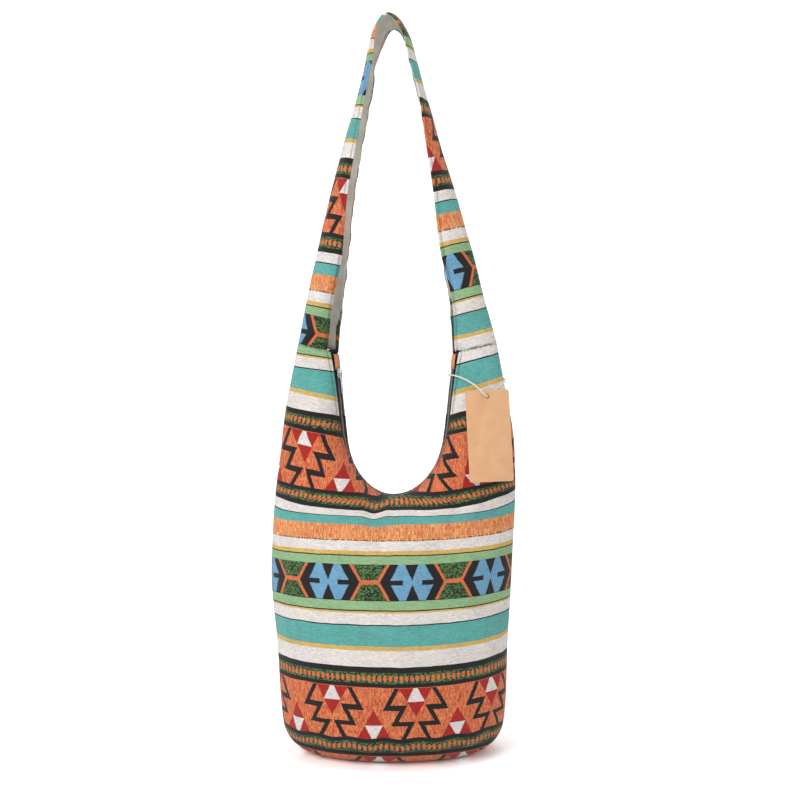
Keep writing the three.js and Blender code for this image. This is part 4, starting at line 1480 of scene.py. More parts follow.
    def _hexagons(self, graph: Graph, colour: Socket, across: Signal, w: Signal) -> Socket:
        """The green band: black hexagons with an orange edge, blue wings and joining bars."""
        t = self.threads
        up = abs(w - self.hexagon_row)
        inside = up < self.hexagon_half
        side = (across - self.hexagon_axis).fold(self.motif)
        edge = 38.0 - up * 0.58
        colour = graph.mix(inside & (up < 2.5), colour, t.orange)
        colour = graph.mix(inside & (side < (edge + 4.0)), colour, t.orange)
        colour = graph.mix(inside & (side < edge), colour, t.black)
        wing = (side < (26.62 - up * 0.54)) & (side > (up * 0.42 - 0.9))
        slit = (up < 2.8) & (side > 11.0)
        return graph.mix(inside & wing & ~slit, colour, t.blue)

    def _mottle(
        self, graph: Graph, colour: Socket, u: Signal, v: Signal, w: Signal
    ) -> tuple[Socket, Signal]:
        """Uneven threads: upright ones of amber and red in the orange, level streaks elsewhere.

        Args:
            graph: The material's graph.
            colour: The colour so far.
            u: Across the cloth.
            v: Up the cloth.
            w: Up the cloth from the repeat's foot.

        Returns:
            The colour, and a level to darken or lighten it by.
        """
        t = self.threads
        upright = graph.flecks(graph.vector(u / 0.8, v / 4.2, 3.0))
        level = graph.flecks(graph.vector(u / 4.2, v / 0.9, 7.0))
        speck = graph.flecks(graph.vector(u / 1.6, v / 1.2, 11.0))
        motif_band = w.between(24.0, 89.0)
        plain_band = w.between(261.0, 281.0)
        green = w.between(5.5, 18.5) | w.between(94.5, 107.5) | w.between(191.5, 232.5)
        colour = graph.mix((upright > 0.62) & motif_band & (speck > 0.2), colour, t.rust_orange)
        colour = graph.mix((upright < 0.22) & motif_band, colour, t.rust)
        colour = graph.mix((upright > 0.68) & plain_band, colour, t.amber)
        colour = graph.mix((upright < 0.2) & plain_band, colour, t.orange)
        colour = graph.mix((speck > 0.62) & green, colour, t.moss)
        colour = graph.mix((speck < 0.2) & green, colour, t.black)
        cloud = graph.noise(graph.vector(u, v), 0.03, 3.0)
        shade = 0.76 + speck * 0.16 + level * 0.24 + (cloud - 0.5) * 0.3
        return colour, shade


@dataclass(frozen=True)
class PlainWeave:
    """A cloth of one colour with crossing threads."""

    name: str
    colour: Colour
    pitch: float = 0.7
    mottle: float = 0.3
    roughness: float = 0.9
    depth: float = 0.00012

    def material(self) -> bpy.types.Material:
        """Builds the cloth's material."""
        graph = Graph(self.name)
        place = graph.object_place()
        split = graph.node("ShaderNodeSeparateXYZ", None, {0: place})
        x, y, z = (Signal(graph, split.outputs[i]) for i in range(3))
        turn = 2 * math.pi / (self.pitch * MM)
        over = ((x + y) * turn).math("SINE") * (z * turn).math("SINE")
        cloud = graph.noise(place, 45.0, 3.0)
        fleck = graph.noise(place, 900.0, 1.0)
        level = 1.0 - self.mottle / 2 + (cloud - 0.5) * self.mottle * 2 + (fleck - 0.5) * self.mottle
        return graph.finish({
            "Base Color": graph.shade(self.colour, level),
            "Roughness": self.roughness,
            "Specular IOR Level": 0.25,
            "Normal": graph.bump(over + fleck, self.depth, 0.7),
        })


@dataclass(frozen=True)
class Nylon:
    """The coil's smooth nylon."""

    name: str = "coil"
    colour: Colour = srgb(176, 176, 174)

    def material(self) -> bpy.types.Material:
        """Builds the nylon."""
        graph = Graph(self.name)
        cloud = graph.noise(graph.object_place(), 500.0, 2.0)
        return graph.finish({
            "Base Color": graph.shade(self.colour, 0.85 + cloud * 0.3),
            "Roughness": 0.4,
        })


@dataclass(frozen=True)
class PlatedZinc:
    """Silver plating with fine wear."""

    name: str = "metal"
    colour: Colour = srgb(205, 205, 207)

    def material(self) -> bpy.types.Material:
        """Builds the plating."""
        graph = Graph(self.name)
        place = graph.object_place()
        wear = graph.noise(place, 700.0, 4.0)
        fine = graph.noise(place, 4000.0, 2.0)
        return graph.finish({
            "Base Color": graph.shade(self.colour, 0.86 + wear * 0.22),
            "Metallic": 1.0,
            "Roughness": wear * 0.2 + 0.16,
            "Normal": graph.bump(fine, 0.00002, 0.4),
        })


@dataclass(frozen=True)
class KraftCard:
    """Stiff unbleached card with fibres."""

    name: str = "kraft"
    colour: Colour = srgb(208, 160, 119)
    fibre: Colour = srgb(172, 122, 84)
    pale: Colour = srgb(216, 170, 130)

    def material(self) -> bpy.types.Material:
        """Builds the card."""
        graph = Graph(self.name)
        place = graph.object_place()
        cloud = graph.noise(place, 60.0, 4.0)
        fleck = graph.noise(place, 1400.0, 2.0)
        colour = graph.mix(cloud.ease(0.35, 0.75), self.colour, self.pale)
        colour = graph.mix(fleck.ease(0.56, 0.78) * 0.6, colour, self.fibre)
        return graph.finish({
            "Base Color": colour,
            "Roughness": 0.82,
            "Specular IOR Level": 0.3,
            "Normal": graph.bump(fleck, 0.00006, 0.5),
        })


@dataclass(frozen=True)
class TwistedCotton:
    """Cream cord of twisted strands with painted shade between them; its UV map runs round the cord and
    along it.
    """

    name: str = "cord"
    colour: Colour = srgb(242, 236, 218)
    # Painted shade in the grooves between the strands.
    strand_gap_shade: Colour = srgb(176, 164, 140)

    def material(self) -> bpy.types.Material:
        """Builds the cord's material."""
        graph = Graph(self.name)
        round_it, along = graph.cloth_place()
        strands = ((round_it * 3.0 + along * 0.35) * (2 * math.pi)).math("SINE") * 0.5 + 0.5
        fuzz = graph.noise(graph.object_place(), 2500.0, 2.0)
        # Cream on the strands, painted shade in the grooves between them.
        colour = graph.mix(strands.ease(0.0, 0.5), self.strand_gap_shade, self.colour)
        return graph.finish({
            "Base Color": graph.shade(colour, 0.85 + fuzz * 0.25),
            "Roughness": 0.9,
            "Specular IOR Level": 0.2,
            "Normal": graph.bump(strands + fuzz * 0.3, 0.0003, 0.8),
        })


class Wardrobe:
    """Every finish of the bag, made once."""

    def __init__(self) -> None:
        """Builds the materials."""
        self.jacquard = Jacquard().material()
        self.lining = PlainWeave("lining", srgb(232, 227, 216)).material()
        self.tape = PlainWeave("tape", srgb(27, 26, 27), 1.0, 0.3, 0.82).material()
        self.thread = PlainWeave("stitching", srgb(88, 58, 40), 0.5, 0.2, 0.85).material()
        self.coil = Nylon().material()
        self.metal = PlatedZinc().material()
        self.kraft = KraftCard().material()
        self.cord = TwistedCotton().material()


def dress(piece: Piece, finish: bpy.types.Material, slot: str, body: str = "bag") -> None:
    """Gives a piece its finish and the body that it rides on, and logs its slot.

    Args:
        piece: The piece.
        finish: Its material.
        slot: The name of its material slot, which is only logged.
        body: The body that carries it.
    """
    piece.data.materials.clear()
    piece.data.materials.append(finish)
    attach(piece, body)
    LOG.info("%s rides on %s in %s", piece.name, body, slot)


class Bench:
    """Hard pieces worked with Blender's own operators, in millimetres round a local origin."""

    @staticmethod
    def clear() -> None:
        """Deselects everything."""
        bpy.ops.object.select_all(action="DESELECT")

    @classmethod
    def take(cls, *pieces: Piece) -> None:
        """Selects these pieces alone; the last one is the active one."""
        cls.clear()
        for piece in pieces:
            piece.select_set(True)
            bpy.context.view_layer.objects.active = piece

    @classmethod
    def plate(
        cls, name: str, outline: Outline, bottom: float, thickness: float,
        round_over: float = 0.0,
    ) -> Piece:  # fmt: skip
        """A flat plate with this outline, its rims rounded over.

        Args:
            name: The plate's name.
            outline: Points in order, in millimetres.
            bottom: The height of its underside.
            thickness: Its thickness.
            round_over: The radius of its rims.

        Returns:
            The plate.
        """
        cls.clear()
        bpy.ops.mesh.primitive_circle_add(vertices=len(outline), fill_type="NGON")
        piece = bpy.context.object
        piece.name = name
        for vertex, (x, y) in zip(piece.data.vertices, outline):
            vertex.co = (x * MM, y * MM, bottom * MM)
        bpy.ops.object.mode_set(mode="EDIT")
        bpy.ops.mesh.select_all(action="SELECT")
        move = {"value": (0, 0, thickness * MM)}
        bpy.ops.mesh.extrude_region_move(TRANSFORM_OT_translate=move)
        bpy.ops.mesh.select_all(action="SELECT")
        bpy.ops.mesh.normals_make_consistent(inside=False)
        bpy.ops.object.mode_set(mode="OBJECT")
        if round_over:
            cls.bevel(piece, round_over)
        return piece

    @classmethod
    def bevel(cls, piece: Piece, width: float, segments: int = 3) -> None:
        """Rounds a piece's sharp edges."""
        cls.take(piece)
        modifier = piece.modifiers.new("rounding", "BEVEL")
        modifier.width = width * MM
        modifier.segments = segments
        modifier.limit_method = "ANGLE"
        modifier.angle_limit = math.radians(40)
        bpy.ops.object.modifier_apply(modifier=modifier.name)

    @classmethod
    def cut(cls, piece: Piece, cutter: Piece) -> None:
        """Cuts one solid out of another and removes the cutter."""
        cls.take(piece)
        modifier = piece.modifiers.new("cut", "BOOLEAN")
        modifier.operation = "DIFFERENCE"
        modifier.solver = "EXACT"
        modifier.object = cutter
        bpy.ops.object.modifier_apply(modifier=modifier.name)
        bpy.data.objects.remove(cutter, do_unlink=True)

    @classmethod
    def join(cls, name: str, pieces: Sequence[Piece], angle: float = 35) -> Piece:
        """Joins pieces to one and smooths its faces below an angle."""
        cls.take(*pieces)
        if len(pieces) > 1:
            bpy.ops.object.join()
        piece = bpy.context.object
        piece.name = name
        piece.data.name = name
        bpy.ops.object.shade_smooth_by_angle(angle=math.radians(angle))
        return piece

    @classmethod
    def put(cls, piece: Piece, place: Matrix) -> Piece:
        """Moves a piece's mesh to its place on the bag; the object stays at the origin."""
        piece.data.transform(place)
        piece.data.update()
        return piece


def rounded_rectangle(
    left: float, right: float, low: float, high: float, radius: float, steps: int = 5
) -> Outline:
    """An outline with round corners, anticlockwise."""
    points = []
    for x, y, start in ((right, high, 0), (left, high, 90), (left, low, 180), (right, low, 270)):
        middle_x = x - math.copysign(radius, x - (left + right) / 2)
        middle_y = y - math.copysign(radius, y - (low + high) / 2)
        for step in range(steps + 1):
            turn = math.radians(start + 90 * step / steps)
            points.append((middle_x + radius * math.cos(turn), middle_y + radius * math.sin(turn)))
    return points


def ellipse(x: float, y: float, half_x: float, half_y: float, steps: int = 32) -> Outline:
    """An oval outline, anticlockwise."""
    turns = [2 * math.pi * i / steps for i in range(steps)]
    return [(x + half_x * math.cos(turn), y + half_y * math.sin(turn)) for turn in turns]


def curve_between(
    start: tuple[float, float], bend: tuple[float, float], end: tuple[float, float], steps: int = 6
) -> Outline:
    """Points of a quadratic curve, without its start."""
    points = []
    for t in np.linspace(0, 1, steps + 1)[1:]:
        shares = ((1 - t) ** 2, 2 * t * (1 - t), t * t)
        points.append(tuple(float(np.dot(shares, values)) for values in zip(start, bend, end)))
    return points


@dataclass
class Zip:
    """The zip round the mouth: two tapes, two coil rows, a slider with its pull, and end tabs."""

    form: BagForm
    tab_length: float = 19
    tab_start: float = 2.5
    end_roll: tuple[float, float, float] = (12.0, 3.0, 0.8)
    end_ripple: float = 0.1125
    end_stretch: tuple[float, float] = (0.9, 1.35)
    end_depth: float = 4.0
    tab_half_width: float = 8.4
    tape_lines: tuple = (0.9, 1.7, 2.4, 3.1, 3.8, 4.8, 6, 7.4, 8.8, 10, 11.2, 12.6)
    hem_reach: tuple[float, float] = (8.2, 10.2)
    rise_reach: tuple[float, float] = (2.4, 3.8)
    end_gap: float = 0.6
    coil_start: float = 3
    deepest: float = 60
    halvings: int = 18
    tab_place: tuple[float, float] = (28.0, 262.5)
    tab_rate: float = 0.82
    tab_under: float = 0.35
    tab_droop: float = 0.16
    tab_swell: tuple = ((12, 0.12), (6, 0.1))
    tab_foot: float = 8
    bare_inset: float = 0.5
    coil_inner: float = 0.5
    coil_outer: float = 2.3
    coil_height: float = 1.5
    coil_gap: float = 0.3
    coil_pitch: float = 1.5
    coil_thread: float = 0.42
    slider_width: float = 10
    slider_mouth: float = 8
    slider_length: float = 12
    slider_plate: float = 1
    slider_place: tuple[float, float, float] = (-68.532, -0.269, 465.997)
    slider_across: tuple[float, float, float] = (-0.20605, -0.97834, -0.01978)
    slider_down: tuple[float, float, float] = (0.09556, 0.0, -0.99542)
    top_plate: float = 0.45
    bottom_plate: float = -3.55
    pull_axis: float = 3.0
    pull_length: float = 27
    pull_width: float = 6.5
    pull_thickness: float = 1.3

    def __post_init__(self) -> None:
        """Works out the line of the zip from its left end round the mouth to its right end."""
        form = self.form
        points, into = [], []
        for side in Side:
            line, ways, _ = form.mouth_line(side)
            turned = side.value * np.stack([-ways[:, 1], ways[:, 0]], axis=1)
            points.append(line if side is Side.LEFT else line[::-1][1:])
            into.append(turned if side is Side.LEFT else turned[::-1][1:])
        self.line, self.into = np.vstack(points), np.vstack(into)
        self.along = run_along(self.line)
        self.length = float(self.along[-1])
        self.tape_inset = form.cloth + form.layer_gap

    def _frames(self, at: Array) -> tuple[Array, Array]:
        """Points of the mouth's edge and unit directions into the cloth at distances along it."""
        return read_along(self.line, self.along, at), unit(read_along(self.into, self.along, at))

    def _under_crest(self, points: Array, into: Array, y: float, inset: float) -> tuple[Array, Array]:
        """Where a skin under the mouth's edge reaches y.

        Args:
            points: Points of the mouth's edge.
            into: Directions into the cloth.
            y: The distance from the middle plane.
            inset: How far the skin lies under the cloth's outside.

        Returns:
            The reached y and the depth under the edge, for each point.
        """
        form = self.form
        outer = np.where(points[:, 0] < 0, *(form.half_width_at(side, points[:, 1]) for side in Side))
        fullest = np.minimum(self.deepest, (outer - np.abs(points[:, 0])) / 2)

        def reach(depth: Array) -> Array:
            spot = points + into * depth[:, None]
            return form.depth_at(spot[:, 0], spot[:, 1], inset)

        low, high = np.full(len(points), inset), fullest.copy()
        at_low, at_high = reach(low), reach(high)
        for _ in range(self.halvings):
            middle = (low + high) / 2
            short = reach(middle) < y
            low, high = np.where(short, middle, low), np.where(short, high, middle)
        depth = np.where(at_low >= y, inset, np.where(at_high < y, fullest, high))
        return np.where(at_high < y, at_high, y), depth

    def tape(self, face: Face, name: str, steps: int = 260) -> Piece:
        """One black tape, from the coil over the crest to its edge under the panel.

        Args:
            face: Front or back.
            name: The piece's name.
            steps: How many stretches it has along the mouth.

        Returns:
            The piece.
        """
        form = self.form
        start = form.lining + form.seam_gap + self.end_gap
        at = np.linspace(start, self.length - start, steps + 1)
        points, into = self._frames(at)
        lines = np.array(self.tape_lines)
        bare = lerp(self.tape_inset, self.bare_inset, smooth_rise(lines, *self.rise_reach))
        sunk = lerp(bare, self.tape_inset, smooth_rise(lines, *self.hem_reach))
        skins = []
        for thickness in (0.0, form.tape):
            columns = []
            for line, inset in zip(lines, sunk + thickness):
                y, depth = self._under_crest(points, into, line, float(inset))
                flat = points + into * depth[:, None]
                columns.append(np.stack([flat[:, 0], face.value * y, flat[:, 1]], axis=-1))
            skins.append(form.hang(np.stack(columns, axis=1)))
        where = np.stack(np.broadcast_arrays(at[:, None], lines[None]), axis=-1)
        skin = Skin()
        skin.add_cloth(*skins, where, RIMS)
        return skin.make(name)

    def coil(self, face: Face, name: str, sides: int = 5, turn_steps: int = 9) -> Piece:
        """One row of the coil: a nylon thread wound into a flat oval spring along the tape.

        Args:
            face: Front or back.
            name: The piece's name.
            sides: How many faces go round the thread.
            turn_steps: How many stretches one turn has.

        Returns:
            The piece.
        """
        start = self.tab_length + self.coil_start
        turns = int((self.length - 2 * start) / self.coil_pitch)
        count = turns * turn_steps
        at = np.linspace(start, self.length - start, count + 1)
        points, into = self._frames(at)
        angle = np.linspace(0, 2 * math.pi * turns, count + 1) + (math.pi if face is Face.BACK else 0)
        thread = self.coil_thread
        half = (self.coil_outer - self.coil_inner) / 2 - thread / 2
        y = (self.coil_inner + self.coil_outer) / 2 + half * np.cos(angle)
        foot = self.tape_inset - self.coil_gap
        depth = foot - self.coil_height / 2 + (self.coil_height - thread) / 2 * np.sin(angle)
        flat = points + into * depth[:, None]
        middle = np.stack([flat[:, 0], face.value * y, flat[:, 1]], axis=-1)
        way = unit(np.gradient(middle, axis=0))
        first = unit(np.cross(way, np.stack([into[:, 1], np.zeros(len(into)), -into[:, 0]], axis=-1)))
        grid = self.form.hang(tube(middle, first, np.cross(way, first), thread / 2, sides))
        skin = Skin()
        skin.add_grid(grid, np.stack(np.broadcast_arrays(at[:, None], full_circle(sides)[None]), axis=-1))
        piece = skin.make(name, merge=FINE_MERGE)
        Bench.take(piece)
        bpy.ops.object.mode_set(mode="EDIT")
        bpy.ops.mesh.select_all(action="DESELECT")
        bpy.ops.mesh.select_non_manifold()
        bpy.ops.mesh.edge_face_add()
        bpy.ops.object.mode_set(mode="OBJECT")
        return piece

    def _place(self, side: Side, from_top: float) -> Matrix:
        """The frame across, down and out of the zip at a distance from its end."""
        points, ways, along = self.form.mouth_line(side)
        sign = side.value
        at = np.array([np.interp(from_top, along, points[:, i]) for i in (0, 1)])
        way = np.array([np.interp(from_top, along, ways[:, i]) for i in (0, 1)])
        way /= np.linalg.norm(way)
        into = np.array([-sign * way[1], sign * way[0]])
        down = Vector((way[0], 0, way[1]))
        slope = self.form.left_lean if side is Side.LEFT else self.form.lean_slope
        slant = Vector((-sign * slope, 1, 0))
        out = slant.cross(down).normalized()
        if out.x * into[0] > 0:
            out.negate()
        across = down.cross(out)
        coil_middle = self.tape_inset - self.coil_gap - self.coil_height / 2
        middle = (coil_middle + self.tape_inset + self.form.tape / 2) / 2
        centre = Vector((at[0] + into[0] * middle, 0, at[1] + into[1] * middle)) + out * middle
        place = Matrix((across, down, out)).transposed().to_4x4()
        place.translation = centre * MM
        return place

    def tab(self, side: Side, name: str) -> Piece:
        """A strip of the jacquard folded over an end of the zip.

        Args:
            side: Left or right.
            name: The piece's name.

        Returns:
            The piece.
        """
        form = self.form
        top = self.coil_height + self.coil_gap - self.tape_inset + form.layer_gap
        bottom = -(self.tape_inset + form.tape + self.tab_under) - form.lining
        bend, middle = (top - bottom) / 2, (top + bottom) / 2
        turns = np.linspace(math.pi / 2, 1.5 * math.pi, 9)
        path = [(self.tab_length, top), *((x, top + rise) for x, rise in self.tab_swell), (bend, top)]
        path += [(bend + bend * math.cos(a), middle + bend * math.sin(a)) for a in turns[1:-1]]
        path += [(bend, bottom), (self.tab_foot, bottom), (self.tab_length, bottom)]
        line = np.array(path)
        way = unit(np.gradient(line, axis=0))
        normal = np.stack([-way[:, 1], way[:, 0]], axis=1)
        across = np.linspace(-self.tab_half_width, self.tab_half_width, 17)
        droop = self.tab_droop * (across / self.tab_half_width) ** 4
        skins = []
        for inset in (0.0, form.lining):
            spot = line + normal * inset
            z = spot[:, 1:] - droop[None] * np.sign(line[:, 1] - middle)[:, None]
            skins.append(np.stack([*np.broadcast_arrays(across[None], spot[:, :1]), z], axis=-1))
        u, v = self.tab_place[0] + across, self.tab_place[1] + run_along(line) * self.tab_rate
        skin = Skin()
        skin.add_cloth(*skins, np.stack(np.broadcast_arrays(u[None], v[:, None]), axis=-1), RIMS)
        return Bench.put(skin.make(name), self._place(side, self.tab_start))

    def end(self, side: Side, name: str, steps: int = 40, sides: int = 14) -> Piece:
        """The gathered roll of dark cloth over an end of the zip, where the strap's seam meets it."""
        reach, radius, rise = self.end_roll
        across = np.linspace(-reach, reach, steps + 1)[:, None]
        around = full_circle(sides)
        fold = np.sin(across * 1.9 + 1.3 * np.cos(around)) + np.sin(across * 0.8 + 2)
        ring = radius * np.sqrt(np.clip(1 - (across / reach) ** 4, 0, 1)) * (1 + self.end_ripple * fold)
        y = ring * np.cos(around) * self.end_stretch[0] - rise
        z = ring * np.sin(around) * self.end_stretch[1] - self.end_depth
        x = np.broadcast_to(across, ring.shape)
        skin = Skin()
        skin.add_grid(np.stack([x, y, z], axis=-1), np.stack(np.broadcast_arrays(x, around[None]), axis=-1))
        return Bench.put(skin.make(name), self._place(side, 0.0))

    def _slider_frame(self) -> Matrix:
        """The slider's frame at rest."""
        across, down = Vector(self.slider_across), Vector(self.slider_down)
        place = Matrix((across, down, across.cross(down))).transposed().to_4x4()
        place.translation = Vector(self.slider_place) * MM
        return place

    def _slider_outline(self) -> Outline:
        """The slider's plan: two lobes where the rows come in, a straight end where they leave."""
        wide, slim, half = self.slider_width / 2, self.slider_mouth / 2, self.slider_length / 2
        points = [(slim, half), (-slim, half), (-wide, -0.3 * half)]
        points += curve_between((-wide, -0.3 * half), (-wide, -0.8 * half), (-0.5 * wide, -half))
        points += curve_between((-0.5 * wide, -half), (0, -0.8 * half), (0.5 * wide, -half))
        points += curve_between((0.5 * wide, -half), (wide, -0.8 * half), (wide, -0.3 * half))
        return points[:-1] + [(wide, -0.3 * half)]

    def slider(self, name: str) -> Piece:
        """The slider: two plates with rolled flanges, the wedge between them and the bail."""
        plate, plan = self.slider_plate, self._slider_outline()
        top = Bench.plate("slider_top", plan, self.top_plate, plate, 0.32)
        low = Bench.plate("slider_low", plan, self.bottom_plate, plate, 0.32)
        parts = [top, low]
        half, slim = self.slider_width / 2, self.slider_mouth / 2
        for sign in (-1, 1):
            for start, height in ((self.top_plate - 0.75, 1.05), (self.bottom_plate + 0.7, 0.9)):
                outline = [
                    (sign * (half - 0.15), -3.2), (sign * (half - 1.35), -3.2),
                    (sign * (slim - 1.35), 5.6), (sign * (slim - 0.15), 5.6),
                ]  # fmt: skip
                if sign > 0:
                    outline.reverse()
                parts.append(Bench.plate("slider_flange", outline, start, height, 0.2))
        wedge = [(0.3, -5.4), (0.3, -1.4), (-0.3, -1.4), (-0.3, -5.4)]
        parts.append(Bench.plate("slider_wedge", wedge, self.bottom_plate + 0.5, 4.2))
        parts.append(self._bail())
        body = Bench.join(name, parts)
        return Bench.put(body, self._slider_frame())

    def _bail(self) -> Piece:
        """The arch over the pull's bar, swept as a flat band."""
        rise = self.pull_axis + self.pull_thickness / 2 + 0.35
        top = self.top_plate + self.slider_plate
        outer = [(-3.9, top - 0.5), (-3.9, rise - 0.5)]
        outer += curve_between(outer[-1], (-3.9, rise + 1.0), (-2.0, rise + 1.0), 5)
        inner = [(-2.7, top - 0.5), (-2.7, rise - 0.6)]
        inner += curve_between(inner[-1], (-2.7, rise), (-1.7, rise), 4)
        mirrored = [(-x, y) for x, y in inner[::-1] + outer]
        band = Bench.plate("slider_bail", inner + mirrored + outer[::-1], -1.0, 2.0, 0.28)
        tip, turn = (Matrix.Rotation(math.radians(90), 4, axis) for axis in "YZ")
        band.data.transform(tip @ turn)
        return band

    def pull(self, name: str) -> Piece:
        """The pull: a long tongue with a window for the bail and an oval eye."""
        half, bar, length = self.pull_width / 2, self.pull_thickness / 2, self.pull_length
        side = [(half, -bar), (half, 7), (0.62 * half, 10), (0.8 * half, length - 4)]
        side += curve_between((0.8 * half, length - 4), (0.8 * half, length), (0, length), 8)
        outline = side + [(-x, y) for x, y in reversed(side[:-1])]
        low = self.pull_axis - self.pull_thickness / 2
        tongue = Bench.plate(name, outline, low, self.pull_thickness)
        window = rounded_rectangle(-1.5, 1.5, bar, 5.6, 0.5, 3)
        Bench.cut(tongue, Bench.plate("window", window, low - 2, self.pull_thickness + 4))
        eye = ellipse(0, length - 5, 1.25, 2.9)
        Bench.cut(tongue, Bench.plate("eye", eye, low - 2, self.pull_thickness + 4))
        Bench.bevel(tongue, 0.3)
        tongue = Bench.join(name, [tongue])
        return Bench.put(tongue, self._slider_frame())


def spline_through(points: Sequence[Sequence[float]], steps: int) -> Array:
    """A centripetal curve through points, with even parameter steps between each two."""
    points = np.asarray(points, float)
    whole = np.vstack([2 * points[0] - points[1], points, 2 * points[-1] - points[-2]])
    found = []
    for spots in zip(whole, whole[1:], whole[2:], whole[3:]):
        knots = np.cumsum([0, *np.linalg.norm(np.diff(spots, axis=0), axis=1) ** 0.5])
        for t in np.linspace(knots[1], knots[2], steps, endpoint=False):
            near = spots
            for span in (1, 2):
                shares = (t - knots[:-span]) / (knots[span:] - knots[:-span])
                near = [lerp(*pair) for pair in zip(near, near[1:], shares)]
            found.append(lerp(*near, (t - knots[1]) / (knots[2] - knots[1])))
    found.append(points[-1])
    return np.array(found)


@dataclass
class HangTag:
    """The bare kraft card and the cord that carries it round the right horn."""

    form: BagForm
    width: float = 53
    height: float = 112
    thickness: float = 0.5
    corner: float = 3
    hole: float = 2.5
    hole_drop: float = 8
    top_drop: float = 58
    across: float = 0.634
    stand: float = 3.9
    follow: float = 0.857
    roll: float = math.radians(-2.3)
    cord: float = 2
    route: tuple = (
        (114.6, -25.8, 439), (113.9, -28.6, 437.5), (113.4, -32, 437), (109.5, -34.5, 440.5),
        (104, -34, 446), (97, -31.8, 452), (89, -28.5, 457), (80, -22.5, 461), (73.5, -13.5, 463),
        (69, -5, 463.5), (67.8, 3.5, 464), (69.2, 11.5, 464), (74.5, 19.5, 464), (85, 24.5, 463.5),
        (99, 26.5, 462.5), (113, 25, 461.5), (126, 18.5, 460.5), (134.5, 8, 459.5), (138, -3.5, 458),
        (136.5, -13.5, 455), (130.5, -21.5, 450.5), (123, -25, 445.5), (117.5, -26, 441.5),
    )  # fmt: skip

    def _place(self) -> Matrix:
        """The card's frame: its top edge's middle, standing a little in front of the horn."""
        form = self.form
        top = form.horn_top - self.top_drop
        inner = float(form.mouth_x(Side.RIGHT, top))
        x = lerp(inner, float(form.half_width_at(Side.RIGHT, top)), self.across)
        depth = float(form.half_depth_at(top))
        slope = (float(form.half_depth_at(top - self.height)) - depth) / self.height
        tilt = math.asin(self.follow * slope)
        place = Matrix.Rotation(self.roll, 4, "Y") @ Matrix.Rotation(math.pi / 2 - tilt, 4, "X")
        place.translation = Vector((x, -depth - self.stand, top)) * MM
        return place

    def card(self, name: str) -> Piece:
        """The card, with rounded corners and a punched hole."""
        half = self.width / 2
        outline = rounded_rectangle(-half, half, -self.height, 0, self.corner, 8)
        card = Bench.plate(name, outline, -self.thickness / 2, self.thickness)
        hole = ellipse(0, -self.hole_drop, self.hole, self.hole, 48)
        Bench.cut(card, Bench.plate("hole", hole, -3, 6))
        Bench.bevel(card, 0.1, 2)
        return Bench.put(Bench.join(name, [card], 30), self._place())

    def string(self, name: str, sides: int = 12) -> tuple[Piece, Array]:
        """The cord as a round tube.

        Args:
            name: The piece's name.
            sides: How many faces go round it.

        Returns:
            The piece, and the points it follows in millimetres.
        """
        path = spline_through(self.route, 12)
        way = unit(np.gradient(path, axis=0))
        side = np.cross(way[0], (0.0, 0.0, 1.0))
        first = []
        for step in way:
            side = unit(side - step * (side @ step))
            first.append(side)
        grid = tube(path, np.array(first), np.cross(way, first), self.cord / 2, sides)
        u, v = np.linspace(0, 1, sides + 1), run_along(path)
        places = np.stack(np.broadcast_arrays(u[None], v[:, None]), axis=-1)
        ends = [np.repeat(path[i][None, None], sides + 1, axis=1) for i in (0, -1)]
        skin = Skin()
        skin.add_grid(np.vstack([ends[0], grid, ends[1]]), np.vstack([places[:1], places, places[-1:]]))
        return skin.make(name, merge=FINE_MERGE), path


